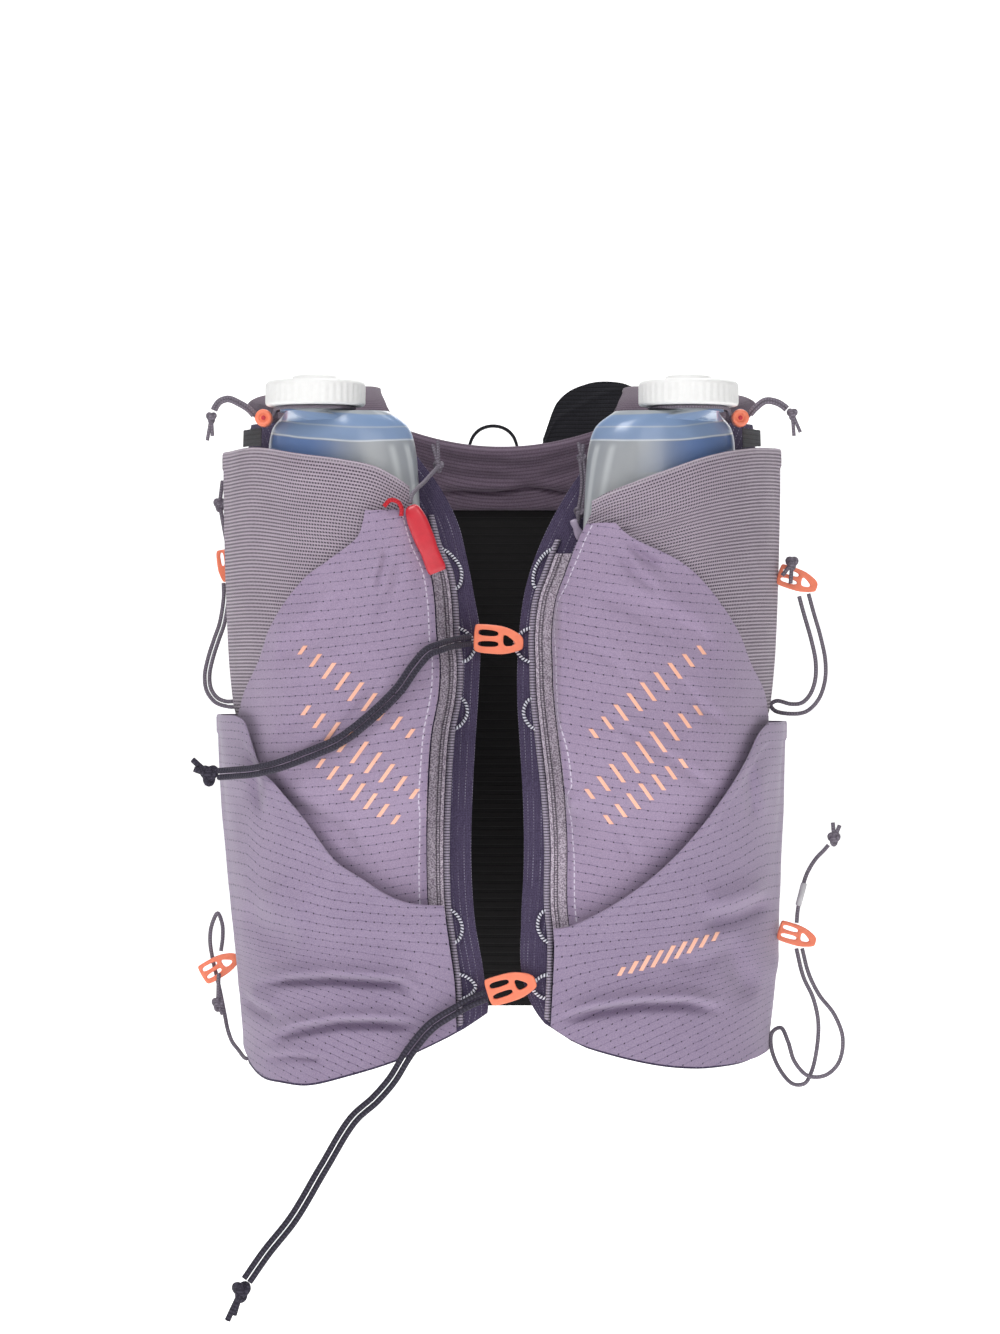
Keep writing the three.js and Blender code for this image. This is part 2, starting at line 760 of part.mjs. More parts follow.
// Shoulder straps, collar and back

const strapFront = alongFront(-baseTop * frontHeight + seam);
const strapBack = alongBack(-yokeDrop);

// The way across where the bare body form is a given distance from the middle
function acrossBody(x) {
  return solve((across) => section(angleAt(across), backDepth).x, x, 0, 1);
}

function shell({ columns, rows, place, low, high }) {
  const insides = [];
  const outsides = [];
  for (let j = 0; j <= rows; j++) {
    insides.push([]);
    outsides.push([]);
    for (let i = 0; i <= columns; i++) {
      const [along, across] = place(i / columns, j / rows);
      insides[j].push(raised(along, across, low(i / columns, j / rows)));
      outsides[j].push(raised(along, across, high(i / columns, j / rows)));
    }
  }
  return wallBetween(insides, outsides);
}

for (const { name, side } of SIDES) {
  add(`shoulder_strap_${name}`, shell({
    columns: 5, rows: 10,
    place: (u, v) => {
      const inner = halfWidth * through(STRAP, 'at', 'inner', v);
      const outer = halfWidth * through(STRAP, 'at', 'outer', v);
      return [mix(strapFront, strapBack, v), side * acrossBody(mix(inner, outer, u))];
    },
    low: () => 0,
    high: () => strapWall,
  }), greyMesh);
}

const collarRise = 11;
const collarInside = 3;
add('collar', shell({
  columns: 10, rows: 3,
  place: (u, v) => {
    const out = 2 * u - 1;
    const z = mix(-neckDrop + collarRise * out ** 2, -yokeDrop, v);
    const along = alongBack(z);
    const strapShare = through(STRAP, 'at', 'inner', (along - strapFront) / (strapBack - strapFront));
    return [along, Math.sign(out) * acrossBody(Math.abs(out) * (halfWidth * strapShare - seam))];
  },
  low: () => -collarInside,
  high: () => collarWall - collarInside,
}), greyMesh);

const backTop = -yokeDrop - seam;
const backCurve = 0.05;
add('back_panel', shell({
  columns: 10, rows: 8,
  place: (u, v) => {
    const out = 2 * u - 1;
    const z = mix(backTop, -backHeight * (1 - backCurve * out ** 4), v);
    return [alongBack(z), out * through(BACK_EDGE, 'down', 'out', -z / backHeight)];
  },
  low: () => 0,
  high: () => backWall,
}), lining);

const pocketAcross = 0.6;
const pocketFoot = 0.94;
const gapeShare = 0.6;
function pocketBulge(u, v) {
  const over = Math.sin(Math.PI * u) ** 0.7;
  const down = v < 0.4 ? mix(gapeShare, 1, ease(v / 0.4)) : 1 - ease((v - 0.4) / 0.6) ** 2;
  return backWall + layerGap + backPocketBulge * over * down;
}
add('back_pocket', shell({
  columns: 8, rows: 7,
  place: (u, v) => [alongBack(mix(-backPocketTop, -backHeight * pocketFoot, v)), (2 * u - 1) * pocketAcross],
  low: (u, v) => pocketBulge(u, v),
  high: (u, v) => pocketBulge(u, v) + panelWall,
}), darkMesh);

// The loose flap is sewn to the back panel above the pocket and stands up behind the right shoulder
const flapFoot = -backPocketTop + 2;
const flapLean = 9;
function flapPoint(u, v, lift) {
  const x = mix(flapInner, flapOuter, u);
  const high = mix(-neckDrop, flapTop, through(FLAP_TOP, 'out', 'rise', u));
  const z = mix(flapFoot, high, v);
  const root = raised(alongBack(flapFoot), acrossBody(x), backWall + seam).y;
  return new THREE.Vector3(x, root + flapLean * ease(3 * v) + lift, z);
}
const flapGrid = (lift) => [0, 0.15, 0.33, 0.66, 1].map((v) => (
  [0, 0.14, 0.28, 0.42, 0.6, 0.8, 1].map((u) => flapPoint(u, v, lift))
));
add('back_pocket_flap', wallBetween(flapGrid(0), flapGrid(flapWall)), darkMesh);

const hangLoopSide = -5;
const hangLoopFoot = 8;
function hangLoopGrid(grown) {
  const steps = 10;
  return Array.from({ length: steps + 1 }, (_, k) => {
    const turn = Math.PI * (k / steps);
    const x = hangLoopSide + (hangLoopWidth / 2 + grown) * Math.cos(turn);
    const z = -neckDrop - hangLoopFoot + (hangLoopRise + hangLoopFoot + grown) * Math.sin(turn) ** 0.6;
    const y = raised(alongBack(-neckDrop - hangLoopFoot), 0, collarWall - collarInside + 2 * layerGap).y;
    return [0, hangLoopBand].map((depth) => new THREE.Vector3(x, y + depth, z));
  });
}
add('hang_loop', wallBetween(hangLoopGrid(0), hangLoopGrid(hangLoopWall)), darkMesh);

// Flasks and caps

function ringLoft(rings) {
  const sides = rings[0].length;
  const points = rings.flat();
  const index = [];
  const ends = [rings[0], rings[rings.length - 1]].map((ring) => (
    ring.reduce((sum, point) => sum.add(point), new THREE.Vector3()).divideScalar(sides)
  ));
  points.push(...ends);
  for (let k = 0; k < sides; k++) {
    const next = (k + 1) % sides;
    for (let r = 0; r < rings.length - 1; r++) {
      const [a, b] = [r * sides, (r + 1) * sides];
      index.push(a + k, a + next, b + next, a + k, b + next, b + k);
    }
    index.push(points.length - 2, next, k);
    const last = (rings.length - 1) * sides;
    index.push(points.length - 1, last + k, last + next);
  }
  const geometry = new THREE.BufferGeometry().setFromPoints(points);
  geometry.setIndex(index);
  return closed(geometry);
}

const flaskSides = 13;
const neckX = (z) => flaskAxisX(z) + neckOffset;

function flaskRing(side, z, smaller) {
  const { wide, deep } = flaskSection(z);
  return Array.from({ length: flaskSides }, (_, k) => {
    const turn = (2 * Math.PI * k) / flaskSides;
    const u = Math.max(0.3, wide - smaller) * Math.cos(turn);
    const w = Math.max(0.3, deep - smaller) * Math.sin(turn) + bendAt(u);
    const x = flaskAxisX(z) + u * Math.cos(yaw) - w * Math.sin(yaw);
    const y = flaskAxisY(z) + u * Math.sin(yaw) + w * Math.cos(yaw);
    return new THREE.Vector3(side * x, y, z);
  });
}

function neckRing(side, z, radius) {
  return Array.from({ length: flaskSides }, (_, k) => {
    const turn = (2 * Math.PI * k) / flaskSides;
    const x = neckX(-flaskTop) + radius * Math.cos(turn + yaw);
    const y = flaskAxisY(-flaskTop) + radius * Math.sin(turn + yaw);
    return new THREE.Vector3(side * x, y, z);
  });
}

const upFlask = (share) => -flaskBottom + flaskLength * share;
const outerSteps = [0, 0.05, 0.14, 0.32, 0.8, 0.9, 0.96, 1];
const innerSteps = [0.97, 0.9, 0.3, 0.1];
const capFoot = -flaskTop + neckGap;
const capFit = 0.4;
const threadRadius = neckRadius + 1;

for (const { name, side } of SIDES) {
  const neckTop = -flaskTop + neckHeight;
  add(`flask_${name}`, ringLoft([
    ...outerSteps.map((share) => flaskRing(side, upFlask(share), 0)),
    neckRing(side, -flaskTop, neckRadius),
    neckRing(side, neckTop, neckRadius),
    neckRing(side, neckTop, neckRadius - 2 * flaskFilm),
    neckRing(side, -flaskTop, neckRadius - 2 * flaskFilm),
    ...innerSteps.map((share) => flaskRing(side, upFlask(share), flaskFilm)),
  ]), film);

  const profile = [
    [0, neckHeight - neckGap + capFit], [threadRadius, neckHeight - neckGap + capFit], [threadRadius, 0],
    [capRadius - 1, 0], [capRadius, 1], [capRadius, capHeight - 2], [capRadius - 2, capHeight],
    [valveRadius + 1, capHeight], [valveRadius, capHeight + valveHeight], [0, capHeight + valveHeight],
  ];
  const cap = new THREE.LatheGeometry(profile.map(([r, up]) => new THREE.Vector2(r, up)), 15);
  cap.rotateX(Math.PI / 2);
  cap.translate(side * neckX(-flaskTop), flaskAxisY(-flaskTop), capFoot);
  add(`flask_cap_${name}`, closed(cap), white);
}

// Edge webbing with its daisy loops

function tube(points, diameter, sides = 8, spacing = 3) {
  const path = new THREE.CatmullRomCurve3(points, false, 'centripetal');
  const ring = Array.from({ length: sides }, (_, k) => {
    const turn = (2 * Math.PI * k) / sides;
    return new THREE.Vector2(Math.cos(turn), Math.sin(turn)).multiplyScalar(diameter / 2);
  });
  const steps = Math.max(3, Math.round(path.getLength() / (spacing * diameter)));
  const settings = { steps, extrudePath: path, bevelEnabled: false };
  return new THREE.ExtrudeGeometry(new THREE.Shape(ring), settings);
}

for (const { name, side, bindingTop } of SIDES) {
  const edge = line(BINDING, name, onBase);
  const piping = cloth({
    side, layer: onBase, wall: pipingWall, columns: 1, rows: 18,
    top: () => bindingTop, bottom: (share) => through(HEM, 'out', name, share) - 2 * hemRise,
    inner: edge, outer: line(BINDING, name, onBase, pipingWidth),
  });
  const loops = LOOPS.map(({ down, long, reach }) => {
    const points = [-1, -0.75, 0, 0.75, 1].map((place) => {
      const z = -frontHeight * (down + (long / 2) * place);
      const out = Math.abs(place) === 1 ? -pipingWidth / 2 : loopReach * reach * (1 - place ** 2);
      const share = through(BINDING, 'down', name, -z / frontHeight) - out / halfWidth;
      const point = front(z, acrossFor(z, share, onBase), baseWall + seam + loopDiameter / 2);
      return new THREE.Vector3(side * point.x, point.y, z);
    });
    return tube(points, loopDiameter, 5, 5);
  });
  add(`edge_webbing_${name}`, joined([piping, ...loops]), greyTape);
}

// Hardware

// A free strand runs through its points, which are millimetres in the part's frame
const strand = (points, diameter) => tube(points.map((point) => new THREE.Vector3(...point)), diameter);

// Two strands side by side along one route, apart from middle to middle, seen from the front
function besides(points, offset) {
  return points.map(([x, y, z], k) => {
    const [before, after] = [points[Math.max(0, k - 1)], points[Math.min(points.length - 1, k + 1)]];
    const [dx, dz] = [after[0] - before[0], after[2] - before[2]];
    const length = Math.hypot(dx, dz);
    return [x - (dz / length) * offset, y, z + (dx / length) * offset];
  });
}

// A strand that runs along its route and back beside itself, round a half circle at the far end
function outAndBack(points, spread) {
  const [beyond, last] = points.slice(-2).map((point) => new THREE.Vector3(...point));
  const tip = last.clone().addScaledVector(last.clone().sub(beyond).normalize(), spread);
  return [...besides(points, spread), tip.toArray(), ...besides(points, -spread).reverse()];
}

// A tied knot with its cut ends, fused into one piece
const knotStretch = 1.25;
function knot([x, y, z], radius, ends, diameter) {
  const ball = new THREE.SphereGeometry(radius, 7, 5);
  ball.scale(1, 1, knotStretch);
  ball.translate(x, y, z);
  return joined([ball, ...ends.map((end) => strand([[x, y, z], middleOf([x, y, z], end), end], diameter))]);
}
const middleOf = (a, b) => a.map((value, k) => (value + b[k]) / 2);

// A flat hook plate that faces forward, rolled about the line of sight
function hookPlate({ length, width, at, roll, slots = HOOK_HOLES }) {
  const scaled = ([along, over]) => new THREE.Vector2(along * length, over * width);
  const outline = new THREE.Shape(HOOK_OUTLINE.map(scaled));
  outline.holes = slots.map((slot) => new THREE.Path(slot.map(scaled)));
  const plate = new THREE.ExtrudeGeometry(outline, { depth: hookWall, bevelEnabled: false });
  plate.translate(0, 0, -hookWall / 2);
  plate.rotateX(Math.PI / 2);
  plate.rotateY(roll * degrees);
  plate.translate(...at);
  return closed(plate);
}

// Sternum fastening: each hook lies on the daisy loops of both edges
const hookDepth = (z) => front(z, 0, baseWall + seam + pipingWall).y - seam - hookWall / 2;
const STERNUM = [
  {
    name: 'upper', at: [-2, -140], roll: 0, knot: [-158, -91, -213], ends: [[-166, -93, -210], [-167, -90, -205]],
    route: [
      [-17, -106.6, -140.6], [-21, -111, -141.2], [-27, -121, -142.5], [-33, -133, -144.5], [-39, -138.5, -147],
      [-46.5, -142.5, -155.5], [-54.5, -145, -167], [-70, -145.5, -182], [-86, -142.5, -194], [-102, -136, -201],
      [-118, -126.5, -207], [-132, -115, -210.5], [-145, -100.5, -212], [-152.8, -93.4, -212.7],
    ],
  },
  {
    name: 'lower', at: [4.6, -326], roll: -21, knot: [-140, -101, -490], ends: [[-144, -101, -503], [-147.5, -100, -506]],
    route: [
      [-8.5, -104.3, -331.4], [-16, -106, -334.2], [-25, -108, -339], [-38, -107.5, -347.5], [-50, -105, -362],
      [-59, -103.5, -376.5], [-68, -102.5, -387], [-80, -102, -398], [-96, -101, -424], [-112, -101, -451],
      [-127, -101, -470], [-137, -101, -484.4],
    ],
  },
];
const strandGap = 0.4;

// The hand-placed points belong to these sizes: a group of hardware follows its anchor when one of them changes
const READ_AT = [150, 103, 383];
const shiftOf = (anchor) => {
  const now = [halfWidth, frontDepth, frontHeight];
  return anchor.map((value, k) => value * (now[k] / READ_AT[k] - 1));
};
const moved = (shift) => (point) => point.map((value, k) => value + shift[k]);

for (const { name, at, roll, route, knot: tied, ends } of STERNUM) {
  const follow = moved(shiftOf([at[0], 0, at[1]]));
  const [x, , z] = follow([at[0], 0, at[1]]);
  const place = [x, hookDepth(z), z];
  const way = route.map(follow);
  add(`sternum_hook_${name}`, hookPlate({ length: hookLength, width: hookWidth, at: place, roll }), coral);
  const apart = (sternumCord + strandGap) / 2;
  add(`sternum_cord_${name}_a`, strand(besides(way, apart), sternumCord), darkCord);
  add(`sternum_cord_${name}_b`, strand(besides(way, -apart), sternumCord), darkCord);
  add(`sternum_knot_${name}`, knot(follow(tied), 1.75 * sternumCord, ends.map(follow), sternumCord), darkCord);
}

// Side compression: a hook at each corner with its elastic and knot
const SIDE_HOOKS = [
  {
    name: 'upper_left', at: [-154.2, -5.8, -98], roll: 80, scale: 0.8, knot: [-158, -6.4, -64],
    ends: [[-156.4, -6.4, -50.6], [-155.4, -6, -78], [-153.6, -5.4, -88.4]], slots: HOOK_HOLES.slice(0, 2),
    route: [
      [-154.6, -5.4, -108.2], [-154.6, -3, -114], [-155.4, 0, -121], [-157.4, 2, -131], [-160.6, 3, -140],
      [-163.9, 2.6, -150.5], [-165.6, 2, -160], [-164.4, 0, -168], [-160, -2, -173.6], [-154.6, -4, -175.6], [-149.6, -6.6, -175.8],
    ],
  },
  {
    name: 'upper_right', at: [163.5, -35, -106.5], roll: 14, scale: 1, knot: [160, -40.4, -97.5],
    ends: [[154.6, -41, -104.6], [159.2, -41, -109]], slots: HOOK_HOLES,
    route: [
      [166.9, -35, -115.1], [169.6, -35, -125], [173.6, -35, -139], [176.2, -35, -152], [175.8, -35, -163],
      [172.5, -34, -172], [167, -33, -177.3], [160, -31.6, -178.2], [151.6, -30, -176.4],
    ],
  },
  {
    name: 'lower_left', at: [-158.6, -2, -322.5], roll: -34, scale: 1, knot: [-159, -6, -343.6],
    ends: [[-158.6, -5.2, -326.5], [-156.4, -6, -349.5]], slots: HOOK_HOLES,
    route: null,
  },
  {
    name: 'lower_right', at: [163.2, -35, -303], roll: 13, scale: 0.95, knot: [183.6, -35, -249.8],
    ends: [[183, -35, -241], [186.8, -35, -242.5]], slots: HOOK_HOLES,
    route: null,
  },
];
const lowerLeftCord = [
  [-141.8, -26, -372.4], [-144, -16, -372.4], [-147.4, -7, -369.4], [-151.4, -1.5, -365], [-154, 1, -358.6],
  [-155.6, 2.2, -351], [-157.6, 2.8, -341], [-160, 3, -330], [-162.6, 3, -319], [-164, 2.4, -308.5],
  [-163, 1.6, -300], [-159.6, 0.2, -293.2], [-157, -0.8, -299], [-156.6, -1.6, -306], [-157.6, -2, -314.4],
];
const lowerRightCord = [
  [166, -35, -310.6], [169.6, -35, -324.4], [175.4, -35, -336.2], [183.6, -36, -346.9], [188.3, -37, -360],
  [186, -38, -373.4], [178.5, -39, -380.4], [169.2, -38, -380.8], [162, -33, -373.4], [158.6, -28, -362.5],
  [155, -24, -355.4], [150.4, -22, -358], [149.8, -22, -366.6], [154.4, -25, -378.6], [161.4, -31, -386],
  [167.6, -34.4, -385.2], [171, -34.4, -379.4], [173.8, -34.4, -368.4], [175, -34.6, -352], [172.2, -35, -338.4],
  [166.6, -35, -326], [162.8, -35, -310.6],
];
const lowerRightTail = [
  [163, -35, -296.4], [163.6, -35.6, -289], [165.2, -37.6, -281], [168.2, -36.4, -270], [173.2, -35.4, -261.5],
  [178.4, -35, -256], [180.6, -35, -253.4],
];

for (const { name, at, roll, scale, knot: tied, ends, slots, route } of SIDE_HOOKS) {
  const size = { length: scale * sideHookLength, width: scale * sideHookWidth };
  const follow = moved(shiftOf(at));
  add(`side_hook_${name}`, hookPlate({ ...size, at: follow(at), roll, slots }), coral);
  add(`side_knot_${name}`, knot(follow(tied), 1.7 * sideCord, ends.map(follow), sideCord), greyCord);
  const spread = name === 'upper_right' ? 2.7 : (sideCord + strandGap) / 2;
  if (route) add(`side_cord_${name}`, strand(outAndBack(route.map(follow), spread), sideCord), greyCord);
}
const [followLeft, followRight] = SIDE_HOOKS.slice(-2).map(({ at }) => moved(shiftOf(at)));
add('side_cord_lower_left', strand(lowerLeftCord.map(followLeft), sideCord), greyCord);
add('side_cord_lower_right', strand(lowerRightCord.map(followRight), sideCord), greyCord);
add('side_tail_lower_right', strand(lowerRightTail.map(followRight), sideCord), greyCord);

// Flask retainers: a toggle on a tab, an elastic round the neck, and its tail with a knot
const toggleGap = 9.25;
const toggleSide = neckX(-flaskTop) + neckRadius + toggleGap;
const toggleFront = -90;
const toggleMiddle = -20.4;
const tabOut = [0.868, 0.94];
const tabTop = 0.0665;
const ringPlace = (turn, level) => {
  const radius = neckRadius + thinCord / 2 + 2 * seam;
  const angle = turn * degrees;
  return [neckX(-flaskTop) + radius * Math.cos(angle), flaskAxisY(-flaskTop) + radius * Math.sin(angle), level];
};
const ringLevel = -flaskTop + neckGap / 2 + 0.2;
const flaskTurns = [-30, -60, -90, -120, -150, -180, -210, -240, -270, -300, -322];
// Places of the tails are measured out from the toggle
const TAILS = [
  {
    route: [
      [5.4, -83, -18.5], [8.2, -84, -15.5], [13.2, -85, -12.4], [19.2, -85, -10], [23.8, -85, -11.4], [26.2, -85, -14.4], [27, -85, -16.2],
    ],
    knot: [28.4, -85, -20], ends: [[30.6, -85, -32.5], [27.8, -84.6, -30]],
  },
  {
    route: [
      [5.4, -83, -18], [8.6, -84, -14.6], [13.9, -85, -11], [19.8, -85, -11.8], [23.6, -85, -14], [25.3, -85, -15.5],
    ],
    knot: [28.2, -85, -18], ends: [[32.6, -85, -28], [29.2, -84.6, -30]],
  },
];
SIDES.forEach(({ name, side }, index) => {
  const faced = ([x, y, z]) => [side * x, y, z];
  const barrel = new THREE.CylinderGeometry(toggleRadius, toggleRadius, toggleLength, 16);
  barrel.translate(side * toggleSide, toggleFront + toggleLength / 2, toggleMiddle);
  add(`flask_toggle_${name}`, closed(barrel), coral);

  add(`toggle_tab_${name}`, cloth({
    side, layer: meshLayer, wall: hangLoopWall, columns: 1, rows: 1,
    top: () => tabTop, bottom: (share) => through(MESH_TOP, 'out', name, share) - hemRise / 2,
    inner: (z) => acrossFor(z, tabOut[0], meshLayer), outer: (z) => acrossFor(z, tabOut[1], meshLayer),
  }), darkMesh);

  const reach = toggleSide - toggleRadius - 2 * seam;
  const loop = [
    [reach, toggleFront + 2, toggleMiddle + 2], [reach - 1.2, toggleFront - 4, ringLevel - 0.4],
    ...flaskTurns.map((turn) => ringPlace(turn, ringLevel)),
    [reach - 1.5, toggleFront + 11, ringLevel], [reach, toggleFront + 8.5, toggleMiddle + 3],
  ];
  add(`flask_cord_${name}`, strand(loop.map(faced), thinCord), greyCord);

  const { route, knot: tied, ends } = TAILS[index];
  const placed = (point) => faced(moved([toggleSide, 0, 0])(point));
  const apart = 0.45 * thinCord;
  const strands = [apart, -apart].map((offset) => strand(besides(route.map(placed), offset), thinCord));
  add(`flask_tail_${name}`, joined(strands), greyCord);
  add(`flask_knot_${name}`, knot(placed(tied), 1.6 * thinCord, ends.map(placed), thinCord), greyCord);
});

// Whistle on its cord, and the pulls of the two chest zips
const followWhistle = moved(shiftOf([-48.2, -132.8, -69.5]));
const whistleTop = followWhistle([-48.2, -132.8, -69.5]);
const whistleFoot = followWhistle([-34.5, -131.4, -103.5]);
function whistle() {
  const [top, foot] = [new THREE.Vector3(...whistleTop), new THREE.Vector3(...whistleFoot)];
  const down = foot.clone().sub(top).normalize();
  const over = new THREE.Vector3(1, 0, 0).addScaledVector(down, -down.x).normalize();
  const front2 = new THREE.Vector3().crossVectors(down, over);
  const profile = [[0, 0], [0.62, 0], [0.85, 0.06], [1, 0.2], [1, 0.94], [0.9, 1], [0, 1]];
  const bodyShape = new THREE.LatheGeometry(profile.map(([r, up]) => new THREE.Vector2(r, up)), 12);
  bodyShape.scale(whistleWidth / 2, whistleLength, whistleDepth / 2);
  bodyShape.applyMatrix4(new THREE.Matrix4().makeBasis(over, down, front2));
  bodyShape.translate(...whistleTop);
  return closed(bodyShape);
}
add('whistle', whistle(), red);
add('whistle_cord', strand([
  [-53.3, -133.2, -75], [-53.2, -133.8, -71], [-55.2, -134.4, -67.6], [-59.2, -134.4, -66.8], [-62.4, -134, -70],
].map(followWhistle), 2.4), red);
add('zip_pull_left', joined([
  strand([
    [-48.6, -133, -68.2], [-48, -131, -64.6], [-45, -122, -60], [-41.5, -110, -56], [-37.6, -100, -51], [-34.6, -93, -47.4],
  ].map(followWhistle), sideCord),
  knot(followWhistle([-34.2, -92, -46.8]), 3.2, [[-37.4, -90, -35], [-34.6, -90, -33]].map(followWhistle), thinCord),
]), greyCord);
const pullGap = 1;
const slider = new THREE.BoxGeometry(5.2, 3, 11.5);
slider.rotateY(-22 * degrees);
slider.translate(40.4, -90.6, -80.6);
add('zip_pull_right', joined([
  slider,
  knot([41.8, -90.4, -71.6], 3.3, [[40.6, -90.4, -78]], sideCord),
  strand(besides([[41.8, -90.4, -71.6], [43.6, -89, -62], [44.2, -87, -54], [43.2, -84.6, -43]], pullGap), thinCord),
  strand(besides([[41.8, -90.4, -71.6], [43.6, -89, -62], [44.2, -87, -54], [43.2, -84.6, -43]], -pullGap), thinCord),
  knot([43.2, -84.4, -42.4], 3, [[41.4, -83, -33.5], [44, -83, -34.5]], thinCord),
]), greyCord);

export default vest;
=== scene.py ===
import math

import bmesh
import bpy
import numpy as np
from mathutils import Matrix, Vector


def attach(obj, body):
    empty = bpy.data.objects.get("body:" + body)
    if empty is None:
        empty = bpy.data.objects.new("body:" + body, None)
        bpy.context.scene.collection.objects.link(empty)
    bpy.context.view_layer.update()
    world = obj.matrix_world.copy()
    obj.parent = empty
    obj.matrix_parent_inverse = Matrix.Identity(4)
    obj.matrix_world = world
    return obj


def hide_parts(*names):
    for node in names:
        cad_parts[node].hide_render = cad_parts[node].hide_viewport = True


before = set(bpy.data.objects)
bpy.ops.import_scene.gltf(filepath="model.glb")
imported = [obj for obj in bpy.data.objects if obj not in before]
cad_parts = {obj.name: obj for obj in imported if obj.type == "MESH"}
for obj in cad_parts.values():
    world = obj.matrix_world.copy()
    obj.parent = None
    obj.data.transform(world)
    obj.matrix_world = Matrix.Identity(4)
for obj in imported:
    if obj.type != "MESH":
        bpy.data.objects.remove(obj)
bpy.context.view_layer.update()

# Running hydration vest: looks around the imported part. Lengths below are millimetres in the part's frame.
MM = 0.001
SIDES = (("left", -1), ("right", 1))

# Camera

camera_data = bpy.data.cameras.new("camera")
camera_data.lens = 112.0
camera_data.sensor_width = 36
camera_data.clip_end = 50
camera = bpy.data.objects.new("camera", camera_data)
camera.location = (-0.00106, -2.33, -0.155)
camera.rotation_euler = (math.radians(90), 0, 0)
bpy.context.scene.collection.objects.link(camera)
bpy.context.scene.camera = camera


# Colours and node helpers

def colour(red, green, blue):
    """A linear colour from 8-bit sRGB values."""
    def linear(value):
        value /= 255
        return value / 12.92 if value <= 0.04045 else ((value + 0.055) / 1.055) ** 2.4
    return (linear(red), linear(green), linear(blue), 1.0)


class Look:
    """A node material with short ways to make masks, colours and bumps."""

    def __init__(self, name, roughness=0.85, **sockets):
        self.material = bpy.data.materials.new(name)
        self.material.use_nodes = True
        self.tree = self.material.node_tree
        self.shader = self.tree.nodes["Principled BSDF"]
        self.shader.inputs["Roughness"].default_value = roughness
        for key, value in sockets.items():
            self.shader.inputs[key.replace("_", " ")].default_value = value

    def node(self, kind, **values):
        made = self.tree.nodes.new(kind)
        for key, value in values.items():
            setattr(made, key, value)
        return made

    def put(self, socket, value):
        if isinstance(value, bpy.types.NodeSocket):
            self.tree.links.new(value, socket)
        else:
            socket.default_value = value

    def math(self, operation, a, b=0.0, c=0.0, clamp=False):
        node = self.node("ShaderNodeMath", operation=operation, use_clamp=clamp)
        for socket, value in zip(node.inputs, (a, b, c)):
            self.put(socket, value)
        return node.outputs[0]

    def times(self, *values):
        made = values[0]
        for value in values[1:]:
            made = self.math("MULTIPLY", made, value)
        return made

    def either(self, *values):
        made = values[0]
        for value in values[1:]:
            made = self.math("MAXIMUM", made, value)
        return made

    def plus(self, a, b):
        return self.math("ADD", a, b)

    def places(self, layer="UVMap"):
        """The two coordinates of a UV layer, in millimetres."""
        node = self.node("ShaderNodeUVMap", uv_map=layer)
        split = self.node("ShaderNodeSeparateXYZ")
        self.tree.links.new(node.outputs[0], split.inputs[0])
        return split.outputs[0], split.outputs[1]

    def vector(self, x, y, z=0.0):
        node = self.node("ShaderNodeCombineXYZ")
        for socket, value in zip(node.inputs, (x, y, z)):
            self.put(socket, value)
        return node.outputs[0]

    def noise(self, size, detail=2.0, vector=None, roughness=0.5):
        """Noise from 0 to 1 whose lumps are about size millimetres across."""
        node = self.node("ShaderNodeTexNoise")
        node.inputs["Scale"].default_value = 1 / size if vector else 1000 / size
        node.inputs["Detail"].default_value = detail
        node.inputs["Roughness"].default_value = roughness
        if vector is None:
            self.tree.links.new(self.node("ShaderNodeTexCoord").outputs["Object"], node.inputs["Vector"])
        else:
            self.tree.links.new(vector, node.inputs["Vector"])
        return node.outputs["Fac"]

    def ramp(self, value, low, high, to_low=0.0, to_high=1.0):
        node = self.node("ShaderNodeMapRange", interpolation_type="SMOOTHSTEP", clamp=True)
        for socket, number in zip(node.inputs, (value, low, high, to_low, to_high)):
            self.put(socket, number)
        return node.outputs[0]

    def line(self, place, pitch, width, soft=0.3):
        """1 on lines that repeat every pitch, else 0."""
        distance = self.math("PINGPONG", place, pitch / 2)
        return self.ramp(distance, width / 2, width / 2 * (1 + soft) + 0.02, 1.0, 0.0)

    def between(self, place, low, high, soft=0.3):
        """1 where a place lies between two values, else 0."""
        return self.times(
            self.ramp(place, low - soft, low + soft), self.ramp(place, high - soft, high + soft, 1.0, 0.0),
        )

    def mix(self, share, a, b):
        node = self.node("ShaderNodeMix", data_type="RGBA")
        self.put(node.inputs["Factor"], share)
        self.put(node.inputs["A"], a)
        self.put(node.inputs["B"], b)
        return node.outputs["Result"]

    def paint(self, value):
        self.put(self.shader.inputs["Base Color"], value)

    def bump(self, height, distance, strength=1.0):
        """A bump in millimetres, over any bump that is there already."""
        node = self.node("ShaderNodeBump")
        node.inputs["Distance"].default_value = distance * MM
        node.inputs["Strength"].default_value = strength
        self.put(node.inputs["Height"], height)
        before = self.shader.inputs["Normal"].links
        if before:
            self.tree.links.new(before[0].from_socket, node.inputs["Normal"])
        self.tree.links.new(node.outputs[0], self.shader.inputs["Normal"])


def heather(look, base, dark, light, fine=0.5):
    """A yarn-dyed ground: fine specks of a darker and a lighter tone over slow shade changes."""
    speck = look.noise(fine, 1.0)
    slow = look.noise(26.0, 3.0)
    ground = look.mix(look.ramp(speck, 0.35, 0.65), dark, light)
    ground = look.mix(0.72, ground, base)
    return look.mix(look.ramp(slow, 0.3, 0.75, 0.0, 0.16), ground, dark)


# Materials

